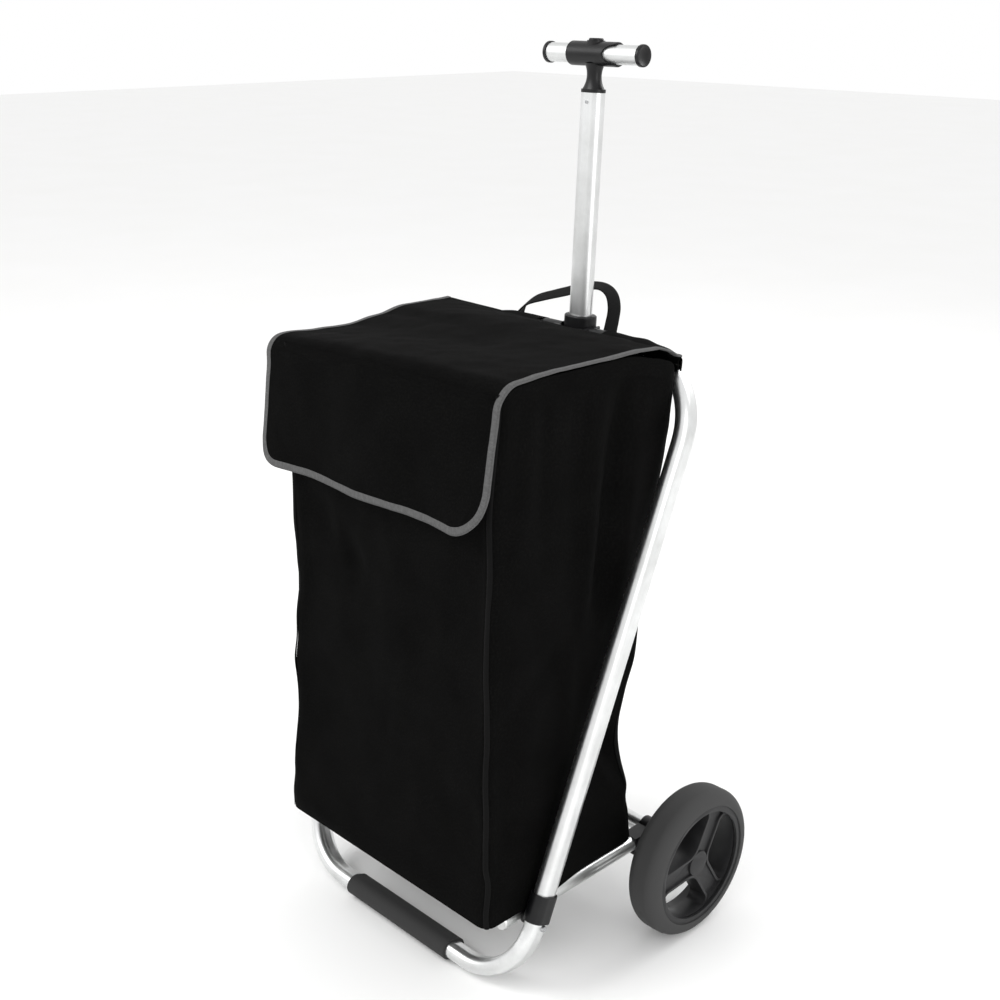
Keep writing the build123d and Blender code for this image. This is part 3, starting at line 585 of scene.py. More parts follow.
def top_height(x: float, y: float) -> float:
    """Height at which the lid lies over a full bag, at a place seen from above."""
    share = min(max((x - LID_RIGHT_X) / (LID_LEFT_X - LID_RIGHT_X), 0.0), 1.0)
    crown = 0.004 * math.sin(math.pi * share) * (1 - step_up(y, 0.05, 0.12))
    return between(y, RIGHT_TOP) * (1 - share) + between(y, LEFT_TOP) * share + crown


# ---- Bag ----
class Panel(Enum):
    """A sewn panel of the bag, and the way it faces."""

    FRONT = (0.0, -1.0)
    LEFT = (1.0, 0.0)
    BACK = (0.0, 1.0)
    RIGHT = (-1.0, 0.0)


@dataclass(frozen=True)
class Fold:
    """A soft ridge or valley in a panel, from one place to another.

    Places are (distance from the panel's middle, height), in metres. Depth is outward: a valley is negative.
    """

    panel: Panel
    start: tuple[float, float]
    end: tuple[float, float]
    depth: float
    width: float

    def lift(self, across: float, height: float) -> float:
        """How far the fold moves the cloth out at a place on its panel, in metres."""
        ax, ay = self.start
        bx, by = self.end
        dx, dy = bx - ax, by - ay
        long = dx * dx + dy * dy
        t = ((across - ax) * dx + (height - ay) * dy) / long
        near = min(max(t, 0.0), 1.0)
        off = math.hypot(across - ax - near * dx, height - ay - near * dy)
        fade = 1.0 - 0.5 * abs(2 * near - 1.0) ** 2
        return self.depth * fade * math.exp(-((off / self.width) ** 2))


@dataclass
class ShoppingBag(Assembly):
    """Sewn bag hung inside the loop: four panels, a bottom, a hem, and seams down its corners."""

    bottom: float = 0.1125
    top: float = 0.7515
    corner: float = 0.016
    across: int = 34
    deep: int = 26
    turn: int = 4
    high: int = 60
    hem: float = 0.026
    side_limit: float = 0.1935
    half_rows: tuple = ((0.11, 0.1845), (0.20, 0.1850), (0.34, 0.1785), (0.48, 0.1755), (0.60, 0.1800),
                        (0.75, 0.1865))
    front_rows: tuple = ((0.11, -0.1985), (0.126, -0.2000), (0.179, -0.1955), (0.284, -0.1885),
                         (0.412, -0.1850), (0.534, -0.1840), (0.616, -0.1850), (0.75, -0.1770))
    back_rows: tuple = ((0.11, 0.0830), (0.30, 0.0920), (0.50, 0.1040), (0.75, 0.1215))
    corner_rows: tuple = ((0.112, 0.0790), (0.152, 0.0770), (0.189, 0.0700), (0.270, 0.0500), (0.425, 0.0830),
                          (0.552, 0.1030), (0.651, 0.1175), (0.75, 0.1215))
    folds: tuple[Fold, ...] = (
        Fold(Panel.FRONT, (-0.185, 0.60), (-0.05, 0.50), -0.007, 0.022),
        Fold(Panel.FRONT, (-0.185, 0.44), (-0.02, 0.53), -0.006, 0.018),
        Fold(Panel.FRONT, (-0.185, 0.33), (-0.06, 0.42), 0.006, 0.020),
        Fold(Panel.FRONT, (-0.170, 0.26), (0.04, 0.34), -0.006, 0.022),
        Fold(Panel.FRONT, (0.170, 0.52), (0.02, 0.42), -0.005, 0.020),
        Fold(Panel.FRONT, (0.165, 0.30), (0.04, 0.20), 0.005, 0.022),
        Fold(Panel.FRONT, (-0.120, 0.13), (0.130, 0.155), -0.005, 0.014),
        Fold(Panel.FRONT, (0.00, 0.58), (0.02, 0.28), 0.004, 0.035),
        Fold(Panel.LEFT, (-0.135, 0.56), (-0.03, 0.44), -0.006, 0.018),
        Fold(Panel.LEFT, (-0.130, 0.36), (0.02, 0.46), -0.006, 0.020),
        Fold(Panel.LEFT, (-0.120, 0.28), (0.05, 0.20), 0.005, 0.022),
        Fold(Panel.LEFT, (0.055, 0.72), (0.045, 0.48), -0.020, 0.020),
        Fold(Panel.LEFT, (0.010, 0.70), (0.000, 0.40), 0.006, 0.026),
        Fold(Panel.LEFT, (0.100, 0.30), (0.140, 0.245), -0.016, 0.024),
        Fold(Panel.LEFT, (-0.08, 0.15), (0.10, 0.135), -0.005, 0.012),
        Fold(Panel.RIGHT, (0.130, 0.58), (0.02, 0.46), -0.006, 0.020),
        Fold(Panel.RIGHT, (0.125, 0.34), (-0.02, 0.42), -0.006, 0.020),
        Fold(Panel.RIGHT, (-0.055, 0.72), (-0.045, 0.48), -0.018, 0.020),
        Fold(Panel.RIGHT, (-0.100, 0.30), (-0.140, 0.245), -0.014, 0.024),
        Fold(Panel.BACK, (-0.150, 0.60), (0.00, 0.50), -0.008, 0.024),
        Fold(Panel.BACK, (0.150, 0.62), (0.02, 0.48), -0.008, 0.022),
        Fold(Panel.BACK, (-0.140, 0.30), (0.10, 0.38), -0.007, 0.024),
    )

    def ring(self, height: float) -> list[tuple[Vector, Vector, Panel, float]]:
        """One level ring of the bag, before the cloth settles.

        Args:
            height: the ring's height, in metres.

        Returns:
            For each column its point, outward direction, panel, and distance from the panel's middle.
        """
        half = between(height, self.half_rows)
        front, back = between(height, self.front_rows), between(height, self.back_rows)
        r = self.corner
        middle = (front + back) / 2
        side_reach = (back - front) / 2
        reach = {Panel.FRONT: half, Panel.BACK: half, Panel.LEFT: side_reach, Panel.RIGHT: side_reach}
        order = (Panel.FRONT, Panel.LEFT, Panel.BACK, Panel.RIGHT)
        columns = []
        for number, panel in enumerate(order):
            nx, ny = panel.value
            tx, ty = -ny, nx
            count = self.across if panel in (Panel.FRONT, Panel.BACK) else self.deep
            side = reach[panel]
            out = {Panel.FRONT: middle - front, Panel.BACK: back - middle}.get(panel, half)
            for k in range(count + 1):
                along = (side - r) * (2 * k / count - 1)
                point = Vector((nx * out + tx * along, middle + ny * out + ty * along, height))
                columns.append((self.pinched(point, back), Vector((nx, ny, 0)), panel, along))
            following = order[(number + 1) % 4]
            fx, fy = following.value
            centre = Vector((nx * (out - r) + tx * (side - r), middle + ny * (out - r) + ty * (side - r),
                             height))
            for k in range(1, self.turn):
                angle = math.pi / 2 * k / self.turn
                way = Vector((nx * math.cos(angle) + fx * math.sin(angle),
                              ny * math.cos(angle) + fy * math.sin(angle), 0))
                here = panel if k * 2 < self.turn else following
                place = side if here is panel else -reach[following]
                columns.append((self.pinched(centre + way * r, back), way, here, place))
        return columns

    def pinched(self, point: Vector, back: float) -> Vector:
        """Draws the two back corners forward, and fills out the right side and the left side's low front."""
        if point.x < 0:
            point = point + Vector((-0.008 * step_up(-point.x, 0.08, 0.18), 0, 0))
        else:
            low = (1 - step_up(point.z, 0.12, 0.24)) * (1 - step_up(point.y, -0.10, 0.0))
            point = point + Vector((0.009 * low * step_up(point.x, 0.10, 0.18), 0, 0))
        share = step_up(abs(point.x), 0.06, 0.18) * (1.0 if point.x > 0 else 0.6)
        share *= step_up(point.y, -0.05, back)
        return point + Vector((0, (between(point.z, self.corner_rows) - back) * share, 0))

    def rows(self) -> list[list[Vector]]:
        """Rows of points from the bottom to the top, with the drawn-in folds."""
        rows = []
        for i in range(self.high + 1):
            height = self.bottom + (self.top - self.bottom) * i / self.high
            free = step_up(height, self.bottom, self.bottom + 0.05)
            free *= 1 - step_up(height, self.top - 0.08, self.top)
            row = []
            for j, (point, way, panel, along) in enumerate(self.ring(height)):
                lift = sum(fold.lift(along, height) for fold in self.folds if fold.panel is panel)
                girth = j * 0.011
                lift += 0.0030 * wander(girth, height, 0.09, 3.0) + 0.0012 * wander(girth, height, 0.03, 7.0)
                place = self.inside(point + way * lift * (0.15 + 0.85 * free))
                row.append(self.raised(place))
            rows.append(row)
        return rows

    def raised(self, point: Vector) -> Vector:
        """Stretches the upper bag to the height at which a full bag holds its lid."""
        rim = top_height(point.x, point.y) - 0.004 - 0.009 * step_up(point.y, 0.02, 0.09)
        share = step_up(point.z, self.top - 0.16, self.top)
        return Vector((point.x, point.y, point.z + (rim - self.top) * share))

    def inside(self, point: Vector) -> Vector:
        """Keeps a point clear of the loop's tubes at the sides."""
        return Vector((min(max(point.x, -self.side_limit), self.side_limit), point.y, point.z))

    def settle(self, piece: Piece) -> None:
        """Lets the cloth crumple a little between its sewn edges, then holds each point near its start.

        Args:
            piece: the open shell, which keeps its points' order.
        """
        start = [v.co.copy() for v in piece.data.vertices]
        wide = len(start) // (self.high + 1)
        held = piece.vertex_groups.new(name="sewn")
        for i in range(self.high + 1):
            for j in range(wide):
                edge = i == 0 or i >= self.high - 2
                if edge:
                    held.add([i * wide + j], 1.0, "REPLACE")
        cloth = piece.modifiers.new("settle", "CLOTH")
        settings = cloth.settings
        settings.quality = 6
        settings.mass = 0.35
        settings.tension_stiffness = settings.compression_stiffness = 25
        settings.shear_stiffness = 12
        settings.bending_stiffness = 1.2
        settings.shrink_min = -0.022
        settings.vertex_group_mass = "sewn"
        settings.effector_weights.gravity = 0.6
        cloth.collision_settings.use_collision = False
        cloth.point_cache.frame_start, cloth.point_cache.frame_end = 1, 26
        for number in range(1, 27):
            bpy.context.scene.frame_set(number)
        apply_modifiers(piece)
        bpy.context.scene.frame_set(1)
        for vertex, before in zip(piece.data.vertices, start):
            moved = vertex.co - before
            cap = 0.009 * (0.15 + 0.85 * step_up(before.z, self.bottom + 0.01, self.bottom + 0.13))
            if moved.length > cap:
                moved *= cap / moved.length
            vertex.co = self.inside(before + moved)
        piece.vertex_groups.clear()

    def build(self) -> None:
        """Makes the shell, the bottom, the hem and the corner seams."""
        rows = self.rows()
        wide = len(rows[0])
        girth = [0.0]
        middle_row = rows[self.high // 2]
        for j in range(wide):
            girth.append(girth[-1] + (middle_row[(j + 1) % wide] - middle_row[j]).length)
        rise = (self.top - self.bottom) / self.high
        shell = cloth_from_rows("bag_shell_cloth", rows, lambda i, j: (girth[j], i * rise), closed=True)
        self.settle(shell)
        settled = [v.co.copy() for v in shell.data.vertices]
        rows = [settled[i * wide:(i + 1) * wide] for i in range(self.high + 1)]
        refine(shell)
        thicken(shell, 1.0)
        apply_modifiers(shell)
        smooth(shell, 80)
        self.finish_piece(shell, BAG_CLOTH, "loop")
        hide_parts("bag_shell")
        self.fold_with_frame(shell)
        bottom = self.bottom_panel(rows[0])
        hem = self.hem_band(rows, girth, rise)
        seams = self.corner_seams(rows)

    def bottom_panel(self, ring: Sequence[Vector]) -> Piece:
        """Bottom of the bag, a flat panel inside its lowest ring."""
        centre = sum((p for p in ring), Vector()) / len(ring)
        rows = []
        for share in (1.0, 0.985, 0.93, 0.8, 0.62, 0.42, 0.22, 0.06):
            rows.append([centre + (p - centre) * share for p in ring])
        piece = cloth_from_rows("bag_bottom_cloth", rows, lambda i, j: tuple(rows[i][j % len(ring)].xy),
                                closed=True)
        select_only(piece)
        bpy.ops.object.mode_set(mode="EDIT")
        bpy.ops.mesh.select_all(action="SELECT")
        bpy.ops.mesh.select_mode(type="EDGE")
        bpy.ops.mesh.select_all(action="DESELECT")
        bpy.ops.object.mode_set(mode="OBJECT")
        last = (len(rows) - 1) * len(ring)
        for edge in piece.data.edges:
            edge.select = all(v >= last for v in edge.vertices)
        bpy.ops.object.mode_set(mode="EDIT")
        bpy.ops.mesh.fill()
        bpy.ops.object.mode_set(mode="OBJECT")
        thicken(piece, 1.0, 1.0)
        apply_modifiers(piece)
        smooth(piece)
        self.finish_piece(piece, BAG_CLOTH, "loop")
        self.fold_with_frame(piece)
        return piece

    def hem_band(self, rows: Sequence[Sequence[Vector]], girth: Sequence[float], rise: float) -> Piece:
        """Hem turned over the bag's top edge: a band a little proud of the shell."""
        wide = len(rows[0])
        first = self.high - round(self.hem / rise)
        band = []
        for i in range(first, self.high + 1):
            row = []
            for j in range(wide):
                way = self.outward(rows[i], j)
                stand = 0.0009 if i > first else 0.0003
                row.append(rows[i][j] + way * stand)
            band.append(row)
        lip = [p + Vector((0, 0, 0.0012)) for p in band[-1]]
        inner = [rows[self.high][j] - self.outward(rows[self.high], j) * 0.0018 for j in range(wide)]
        low = [rows[self.high - 2][j] - self.outward(rows[self.high - 2], j) * 0.0018 for j in range(wide)]
        band += [lip, inner, low]
        piece = cloth_from_rows("bag_hem_cloth", band, lambda i, j: (girth[j], 0.7 + i * rise), closed=True)
        refine(piece)
        apply_modifiers(piece)
        smooth(piece, 70)
        self.finish_piece(piece, BAG_CLOTH, "loop")
        self.fold_with_frame(piece)
        return piece

    @staticmethod
    def outward(row: Sequence[Vector], j: int) -> Vector:
        """Outward level direction of a ring at one column."""
        chord = row[(j + 1) % len(row)] - row[j - 1]
        return Vector((chord.y, -chord.x, 0)).normalized()

    def corner_seams(self, rows: Sequence[Sequence[Vector]]) -> Piece:
        """Narrow lapped seams down the four corners, joined in one piece."""
        wide = len(rows[0])
        starts, column = [], 0
        for count in (self.across, self.deep, self.across, self.deep):
            column += count + 1
            starts.append((column + self.turn // 2 - 1) % wide)
            column += self.turn - 1
        strips = []
        for number, j in enumerate(starts):
            strip = []
            for i, row in enumerate(rows):
                way = self.outward(row, j)
                side = Vector((-way.y, way.x, 0))
                profile = ((-3.4, -0.6), (-2.6, 0.7), (-0.9, 1.2), (0.9, 1.2), (2.6, 0.7), (3.4, -0.6))
                strip.append([row[j] + side * a * MM + way * b * MM for a, b in profile])
            strips.append(cloth_from_rows(f"seam_{number}", strip,
                                          lambda i, k: ((k - 2.5) * 0.0012, i * 0.0107)))
        clear_selection()
        for strip in strips:
            strip.select_set(True)
        bpy.context.view_layer.objects.active = strips[0]
        bpy.ops.object.join()
        piece = strips[0]
        piece.name = "bag_corner_seams"
        refine(piece)
        apply_modifiers(piece)
        smooth(piece, 70)
        self.finish_piece(piece, BLACK_TAPE, "loop")
        self.fold_with_frame(piece)
        return piece


# ---- Lid ----
@dataclass
class FlapLid(Assembly):
    """Fabric lid sewn to the bag's back rim: its top, the drop down the front, and a grey binding."""

    back: float = 0.1220
    bend: float = -0.1790
    height: float = 0.7585
    drop: float = 0.154
    lean: float = math.radians(98.5)
    bend_r: float = 0.022
    corner_left_r: float = 0.056
    corner_right_r: float = 0.034
    binding: float = 0.0085
    across: int = 64
    along: int = 84

    @property
    def half(self) -> float:
        """Half the cut's width."""
        return (LID_LEFT_X - LID_RIGHT_X) / 2

    @property
    def top(self) -> float:
        """Flat length of the lid's top, from its back seam to where it starts to bend."""
        return self.back - self.bend - self.bend_r

    @property
    def length(self) -> float:
        """Flat length of the lid, from the back seam to the end of the drop."""
        return self.top + self.bend_r * self.lean + self.drop - self.bend_r

    def spine(self, s: float) -> tuple[Vector, Vector]:
        """Middle line of the lid, level and unworn, at distance s from its back edge.

        Args:
            s: distance along the cloth, in metres.

        Returns:
            The point, with x 0, and the outward normal.
        """
        arc = self.bend_r * self.lean
        centre = Vector((0, self.back - self.top, self.height - self.bend_r))
        if s <= self.top:
            return Vector((0, self.back - s, self.height)), Vector((0, 0, 1))
        angle = min((s - self.top) / self.bend_r, self.lean)
        way = Vector((0, -math.sin(angle), math.cos(angle)))
        down = Vector((0, math.cos(self.lean), -math.sin(self.lean)))
        return centre + way * self.bend_r + down * max(s - self.top - arc, 0.0), way

    def corner_r(self, side: int) -> float:
        """Radius of a lower corner; side is 1 for the left one and -1 for the right."""
        return self.corner_left_r if side > 0 else self.corner_right_r

    def half_at(self, s: float, side: int) -> float:
        """Distance from the middle to one side's edge, at distance s along the cloth."""
        left, r = self.length - s, self.corner_r(side)
        if left >= r:
            return self.half
        return self.half - r + math.sqrt(max(r ** 2 - (r - left) ** 2, 0.0))

    def place(self, x: float, s: float, lift: float = 0.0) -> Vector:
        """Where a place on the flat cloth lies once the lid is worn in.

        Args:
            x: distance across from the middle, in metres.
            s: distance from the back edge, in metres.
            lift: distance off the cloth along its normal.

        Returns:
            The point in the row frame.
        """
        point, way = self.spine(s)
        share = x / self.half
        on_top = 1 - step_up(s, self.top - 0.01, self.top + 0.03)
        on_drop = step_up(s, self.top, self.top + 0.06)
        place_x = x + (LID_LEFT_X + LID_RIGHT_X) / 2
        low = self.height - self.drop - 0.002
        high = top_height(place_x, max(point.y, self.bend + 0.006))
        rise = low + (point.z - low) * (high - low) / (self.height - low)
        ripple = 0.0014 * wander(x, s, 0.050, 11.0) + 0.0007 * wander(x, s, 0.020, 17.0)
        fallen = min((s - self.top) / (self.length - self.top), 1.0)
        billow = 0.0060 * (1 - share * share) * on_drop * math.sin(math.pi * fallen)
        curl = 0.0030 * step_up(s, self.length - 0.03, self.length) * (0.3 + abs(share) ** 3) * on_drop
        dent = -0.0045 * math.exp(-(((x + 0.085) / 0.035) ** 2) - ((s - self.top - 0.075) / 0.05) ** 2)
        swag = 0.0030 * math.sin(2 * math.pi * (x + 0.05) / 0.19) * on_drop * fallen
        hollow = -0.0035 * math.exp(-(((x - 0.03) / 0.09) ** 2) - ((s - 0.13) / 0.07) ** 2) * on_top
        narrow = -0.010 * on_drop * fallen if share < -0.5 else 0.0
        ease = 0.4 + 0.6 * min(s / 0.012, 1.0)
        out = (ripple + billow + curl + dent + swag + hollow) * ease + lift
        return Vector((place_x - narrow * (abs(share) - 0.5) * 2, point.y, rise)) + way * out

    def rows(self) -> list[list[tuple[float, float]]]:
        """Flat grid of the cut: rows of (across, along) places."""
        grid = []
        inset = self.binding * 0.35
        for i in range(self.along + 1):
            s = (self.length - inset) * i / self.along
            left, right = self.half_at(s, 1) - inset, self.half_at(s, -1) - inset
            grid.append([(-right + (left + right) * j / self.across, s) for j in range(self.across + 1)])
        return grid

    def rim(self) -> list[tuple[Vector, Vector]]:
        """Edge of the cut from back corner to back corner: flat place and inward direction."""
        def side_edge(side: int) -> list[tuple[Vector, Vector]]:
            """One side from the back, then its lower corner."""
            r = self.corner_r(side)
            straight = self.length - r
            line = [(Vector((side * self.half, straight * k / 60)), Vector((-side, 0))) for k in range(60)]
            centre = Vector((side * (self.half - r), straight))
            for k in range(17):
                angle = math.pi / 2 * k / 16
                way = Vector((-side * math.cos(angle), -math.sin(angle)))
                line.append((centre - way * r, way))
            return line

        first, last = side_edge(-1), side_edge(1)
        start, end = first[-1][0].x, last[-1][0].x
        bottom = [(Vector((start + (end - start) * k / 42, self.length)), Vector((0, -1)))
                  for k in range(1, 42)]
        return first + bottom + list(reversed(last))

    def build(self) -> None:
        """Makes the lid's cloth and its binding."""
        flat = self.rows()
        places = [[self.place(x, s) for x, s in row] for row in flat]
        cloth = cloth_from_rows("lid_cloth", places, lambda i, j: flat[i][j])
        thicken(cloth, 1.6, 0.0)
        apply_modifiers(cloth)
        smooth(cloth, 60)
        self.finish_piece(cloth, BAG_CLOTH, "lid")
        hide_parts("lid_flap")
        self.fold_with_frame(cloth)
        binding = self.bind()

    def bind(self) -> Piece:
        """Grey tape folded over the edge of the lid."""
        w = self.binding
        profile = ((w, 1.0), (w * 0.98, 1.35), (w * 0.55, 1.6), (w * 0.15, 1.5), (-0.0007, 0.8), (-0.0009, 0.0),
                   (-0.0007, -0.8), (w * 0.15, -1.5), (w * 0.55, -1.6), (w * 0.98, -1.35), (w, -1.0))
        rows, lengths = [], [0.0]
        for place, inward in self.rim():
            row = []
            for inset, lift in profile:
                flat = place + inward * inset
                row.append(self.place(flat.x, max(flat.y, 0.0), lift * MM))
            if rows:
                lengths.append(lengths[-1] + (row[0] - rows[-1][0]).length)
            rows.append(row)
        piece = cloth_from_rows("lid_binding_tape", rows, lambda i, j: ((j - 5) * w / 5, lengths[i]))
        refine(piece)
        apply_modifiers(piece)
        select_only(piece)
        bpy.ops.object.mode_set(mode="EDIT")
        bpy.ops.mesh.select_all(action="SELECT")
        bpy.ops.mesh.normals_make_consistent(inside=False)
        bpy.ops.object.mode_set(mode="OBJECT")
        smooth(piece, 70)
        self.finish_piece(piece, GREY_TAPE, "lid")
        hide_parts("lid_binding")
        self.fold_with_frame(piece)
        return piece


# ---- Webbing ----
@dataclass
class Webbing(Assembly):
    """Carry loop of webbing, sewn to the bag's back rim, behind the pole."""

    width: float = 0.025
    thick: float = 0.0024
    path: tuple[tuple[float, float, float], ...] = (
        (-0.1300, 0.1690, 0.7380), (-0.1270, 0.1730, 0.7530), (-0.1130, 0.1790, 0.7665),
        (-0.0860, 0.1840, 0.7765), (-0.0530, 0.1860, 0.7870), (-0.0200, 0.1860, 0.7975),
        (0.0060, 0.1855, 0.8010), (0.0230, 0.1840, 0.7940), (0.0300, 0.1820, 0.7780),
        (0.0290, 0.1800, 0.7600), (0.0270, 0.1780, 0.7430), (0.0300, 0.1765, 0.7300),
    )

    def band(self, name: str, centre: Sequence[Vector], side: Callable[[int], Vector]) -> Piece:
        """A webbing band along a line of points.

        Args:
            name: the object's name.
            centre: points along the band's middle.
            side: point number to the direction across the band.

        Returns:
            The band, with rounded edges.
        """
        rows, along = [], [0.0]
        for k, point in enumerate(centre):
            before, after = centre[max(k - 1, 0)], centre[min(k + 1, len(centre) - 1)]
            across = side(k).normalized()
            out = (after - before).normalized().cross(across).normalized()
            half, deep = self.width / 2, self.thick / 2
            profile = ((-half, 0), (-half * 0.95, deep), (-half * 0.4, deep), (half * 0.4, deep), (half * 0.95, deep),
                       (half, 0), (half * 0.95, -deep), (half * 0.4, -deep), (-half * 0.4, -deep),
                       (-half * 0.95, -deep))
            rows.append([point + across * a + out * b for a, b in profile])
            if k:
                along.append(along[-1] + (point - before).length)
        spots = (-1, -0.95, -0.4, 0.4, 0.95, 1, 0.95, 0.4, -0.4, -0.95, -1)
        piece = cloth_from_rows(name, rows, lambda i, j: (spots[j] * self.width / 2, along[i]), closed=True)
        select_only(piece)
        bpy.ops.object.mode_set(mode="EDIT")
        bpy.ops.mesh.select_all(action="DESELECT")
        bpy.ops.mesh.select_non_manifold()
        bpy.ops.mesh.edge_face_add()
        bpy.ops.mesh.select_all(action="SELECT")
        bpy.ops.mesh.normals_make_consistent(inside=False)
        bpy.ops.object.mode_set(mode="OBJECT")
        refine(piece)
        apply_modifiers(piece)
        smooth(piece, 60)
        return piece

    def build(self) -> None:
        """Makes the carry loop."""
        line = curve_points([Vector(p) for p in self.path], 72)
        last = len(line) - 1
        tilt = [Vector((0.10 * math.sin(k / 9), 0.88, 0.50 * (1 - step_up(k / last, 0.45, 0.75))))
                for k in range(last + 1)]
        loop = self.band("carry_loop_webbing", line, lambda k: tilt[k])
        self.finish_piece(loop, WEBBING, "loop")
        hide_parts("carry_strap")
        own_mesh(loop)


@dataclass
class RimHood(Assembly):
    """Cloth rim from the bag's back edge over the loop's top bar and down behind it, open at the yoke."""

    opening: float = 0.056
    end: float = 0.1855
    steps: int = 30
    top_rows: tuple = ((0.0, 0.7572), (0.105, 0.7572), (0.150, 0.7545), (0.186, 0.7515))
    ridge_rows: tuple = ((0.0, 0.1430), (0.105, 0.1430), (0.150, 0.1365), (0.186, 0.1245))
    back_rows: tuple = ((0.0, 0.1655), (0.105, 0.1655), (0.140, 0.1630), (0.165, 0.1500), (0.186, 0.1260))
    low_rows: tuple = ((0.0, 0.7130), (0.105, 0.7130), (0.150, 0.7200), (0.186, 0.7420))

    def profile(self, x: float) -> list[Vector]:
        """Line of the hood at one place across, from the rim over the bar and back to the bag."""
        wide = abs(x)
        top, ridge = between(wide, self.top_rows), between(wide, self.ridge_rows)
        back, low = between(wide, self.back_rows), between(wide, self.low_rows)
        knots = [
            Vector((x, 0.1195, top - 0.010)), Vector((x, 0.1215, top - 0.0018)),
            Vector((x, 0.1265, top - 0.0004)),
            Vector((x, ridge, top)), Vector((x, (ridge + back) / 2 + 0.002, top - 0.0045)),
            Vector((x, back, top - 0.0185)), Vector((x, back - 0.001, (top + low) / 2 - 0.006)),
            Vector((x, back - 0.012, low + 0.004)), Vector((x, (back + 0.1165) / 2, low)),
            Vector((x, 0.1185, low - 0.006)),
        ]
        return curve_points(knots, 30)

    def build(self) -> None:
        """Makes both halves, left and right of the pole."""
        halves = []
        for side in (-1, 1):
            rows = []
            for k in range(self.steps + 1):
                x = side * (self.opening + (self.end - self.opening) * k / self.steps)
                line = self.profile(x)
                rows.append([p + Vector((0, 0.0008 * wander(p.x, p.z, 0.02, 5.0),
                                         0.0010 * wander(x, p.y, 0.025, 9.0)))
                             for p in line])
            piece = cloth_from_rows(f"rim_half_{side + 1}", rows, lambda i, j: (i * 0.0043, j * 0.0036))
            halves.append(piece)
        clear_selection()
        for half in halves:
            half.select_set(True)
        bpy.context.view_layer.objects.active = halves[0]
        bpy.ops.object.join()
        piece = halves[0]
        piece.name = "rim_hood_cloth"
        select_only(piece)
        bpy.ops.object.mode_set(mode="EDIT")
        bpy.ops.mesh.select_all(action="SELECT")
        bpy.ops.mesh.normals_make_consistent(inside=False)
        bpy.ops.object.mode_set(mode="OBJECT")
        thicken(piece, 1.0, 0.0)
        apply_modifiers(piece)
        smooth(piece, 60)
        self.finish_piece(piece, BAG_CLOTH, "loop")
        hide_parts("rim_sleeves")


# ---- Hard parts ----
@dataclass
class WheelRims(Assembly):
    """Spoked rims with their sharp moulded edges rounded off."""

    edge_mm: float = 0.9

    def build(self) -> None:
        """Rounds a copy of each rim."""
        for side in ("left", "right"):
            self.rounded(f"rim_{side}", f"rim_{side}_moulding", self.edge_mm, WHEEL_PLASTIC, f"wheel_{side}")

    def rounded(self, node: str, name: str, edge_mm: float, finish: Finish, body: str) -> Piece:
        """Copies a CAD node, joins its loose faces and bevels its sharp edges.

        Args:
            node: the CAD node.
            name: the new piece's name.
            edge_mm: width of the bevel.
            finish: the piece's finish.
            body: the CAD body it rides on.

        Returns:
            The piece, which replaces the node.
        """
        piece = bpy.data.objects.new(name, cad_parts[node].data.copy())
        bpy.context.scene.collection.objects.link(piece)
        select_only(piece)
        bpy.ops.object.mode_set(mode="EDIT")
        bpy.ops.mesh.select_all(action="SELECT")
        bpy.ops.mesh.remove_doubles(threshold=0.00001)
        bpy.ops.mesh.dissolve_limited(angle_limit=math.radians(0.6))
        bpy.ops.object.mode_set(mode="OBJECT")
        piece.data.attributes.active_index = 0
        if piece.data.has_custom_normals:
            bpy.ops.mesh.customdata_custom_splitnormals_clear()
        edge = piece.modifiers.new("edge", "BEVEL")
        edge.width = edge_mm * MM
        edge.segments = 2
        edge.limit_method = "ANGLE"
        edge.angle_limit = math.radians(35)
        edge.harden_normals = False
        apply_modifiers(piece)
        smooth(piece, 38)
        self.finish_piece(piece, finish, body)
        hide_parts(node)
        return piece


@dataclass
class HardParts(Assembly):
    """CAD parts that keep their shape and get their real finishes."""

    def build(self) -> None:
        """Dresses every CAD node that is shown."""
        for finish, names in NODE_FINISHES.items():
            for name in names:
                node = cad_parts[name]
                node.data.materials.clear()
                node.data.materials.append(finish.material())
                LOG.info("HardParts: %s in %s", name, finish.name)


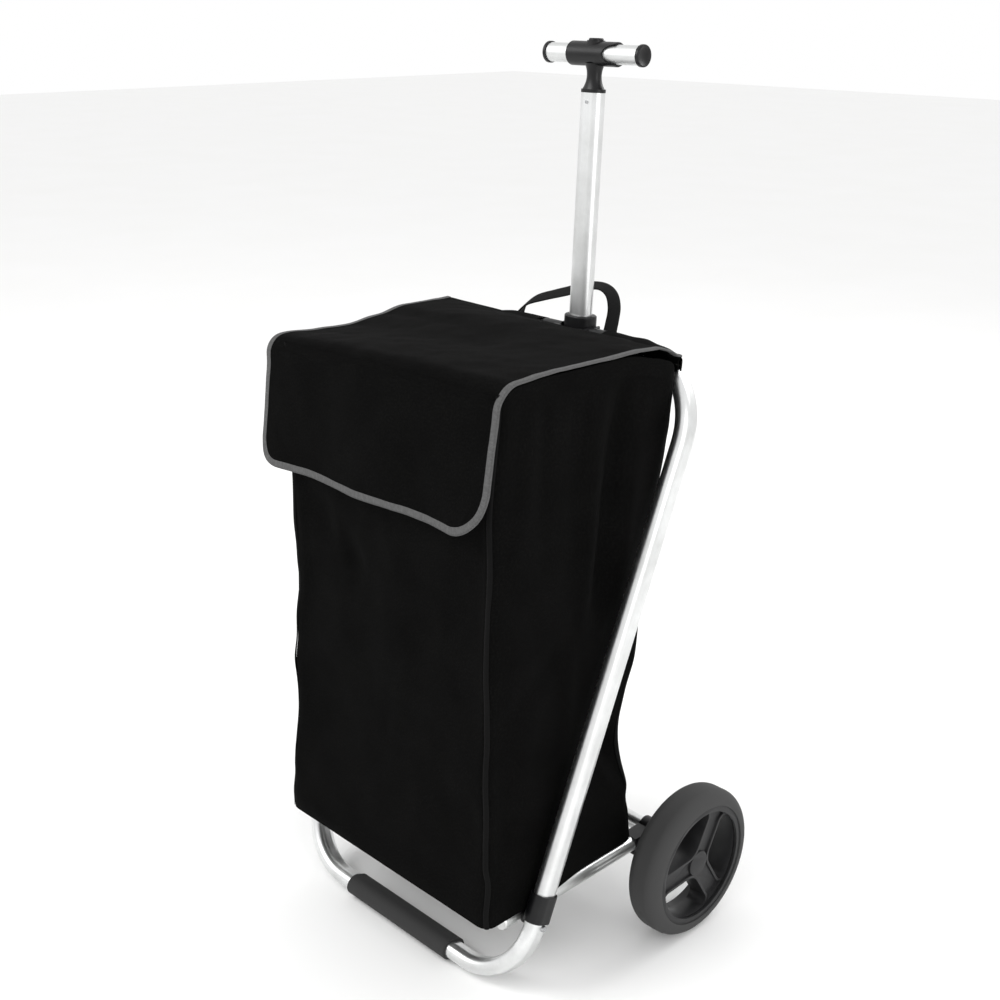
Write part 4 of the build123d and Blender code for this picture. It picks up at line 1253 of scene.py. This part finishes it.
# ---- Studio ----
@dataclass
class Studio:
    """Pale seamless floor, soft lights and the camera."""

    eye: tuple[float, float, float] = (1.178835, -1.148691, 1.154366)
    azimuth: float = 0.794239
    pitch: float = 0.349313
    roll: float = 0.0062026
    lens: float = 50.13
    floor_colour: str = "#f6f6f6"

    def camera(self) -> None:
        """Creates the camera, level but for a slight roll, and makes it the scene's."""
        back = Vector((math.sin(self.azimuth) * math.cos(self.pitch),
                       -math.cos(self.azimuth) * math.cos(self.pitch),
                       math.sin(self.pitch)))
        right = (-back).cross(Vector((0, 0, 1))).normalized()
        up = right.cross(-back)
        turned = right * math.cos(self.roll) + up * math.sin(self.roll)
        upright = -right * math.sin(self.roll) + up * math.cos(self.roll)
        data = bpy.data.cameras.new("camera")
        data.lens = self.lens
        data.sensor_width = 36.0
        data.clip_end = 60.0
        camera = bpy.data.objects.new("camera", data)
        axes = Matrix((turned, upright, back)).transposed().to_4x4()
        camera.matrix_world = Matrix.Translation(self.eye) @ axes
        bpy.context.scene.collection.objects.link(camera)
        bpy.context.scene.camera = camera

    def floor(self) -> None:
        """Wide pale floor with a matt surface."""
        clear_selection()
        bpy.ops.mesh.primitive_plane_add(size=30.0, location=(0, 0, 0))
        floor = bpy.context.object
        floor.name = "floor"
        material = bpy.data.materials.new("studio_floor")
        material.use_nodes = True
        tree = material.node_tree
        tree.nodes.clear()
        where = add_node(tree, "ShaderNodeTexCoord").outputs["Object"]
        tone = blend_colours(tree, noise_node(tree, where, 400.0), linear(self.floor_colour),
                             linear("#f3f3f2"))
        shader = add_node(tree, "ShaderNodeBsdfPrincipled", {"Base Color": tone, "Roughness": 0.9})
        shader.inputs["Specular IOR Level"].default_value = 0.1
        add_node(tree, "ShaderNodeOutputMaterial", {"Surface": shader.outputs["BSDF"]})
        floor.data.materials.append(material)

    def softbox(self, name: str, place: tuple[float, float, float], aim: tuple[float, float, float],
                size: tuple[float, float], power: float) -> None:
        """Adds one rectangular area light.

        Args:
            name: the light's name.
            place: where it stands, in metres.
            aim: the point it faces.
            size: its width and height, in metres.
            power: its power in watts.
        """
        data = bpy.data.lights.new(name, "AREA")
        data.shape = "RECTANGLE"
        data.size, data.size_y = size
        data.energy = power
        light = bpy.data.objects.new(name, data)
        way = Vector(aim) - Vector(place)
        light.matrix_world = Matrix.Translation(place) @ way.to_track_quat("-Z", "Y").to_matrix().to_4x4()
        bpy.context.scene.collection.objects.link(light)

    def lights(self) -> None:
        """White surround with a key box above the front left, a fill on the right and one behind."""
        world = bpy.data.worlds.new("studio")
        world.use_nodes = True
        world.node_tree.nodes["Background"].inputs["Color"].default_value = linear("#ffffff")
        world.node_tree.nodes["Background"].inputs["Strength"].default_value = 1.0
        bpy.context.scene.world = world
        self.softbox("key_light", (-1.6, -2.2, 2.6), (0, 0, 0.5), (1.6, 1.6), 52)
        self.softbox("fill_light", (2.6, -0.6, 1.4), (0, 0, 0.5), (1.2, 2.0), 22)
        self.softbox("back_light", (0.6, 2.4, 2.2), (0, 0, 0.6), (1.8, 1.2), 26)
        bpy.context.scene.view_settings.view_transform = "Standard"

    def build(self) -> None:
        """Sets up camera, floor and lights."""
        self.camera()
        self.floor()
        self.lights()


def corners(box: tuple[Vector, Vector]) -> list[list[float]]:
    """Lowest and highest corner of a box, as plain lists."""
    return [list(corner) for corner in box]


def main() -> None:
    """Builds the trolley's soft goods, finishes its parts, and sets up the studio."""
    logging.basicConfig(level=logging.INFO, format="%(name)s %(message)s")
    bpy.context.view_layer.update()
    Studio().build()
    HardParts().build()
    for assembly in (ShoppingBag(), FlapLid(), RimHood(), Webbing(), WheelRims()):
        assembly.build()
        assembly.report()


if __name__ == "__main__":
    main()
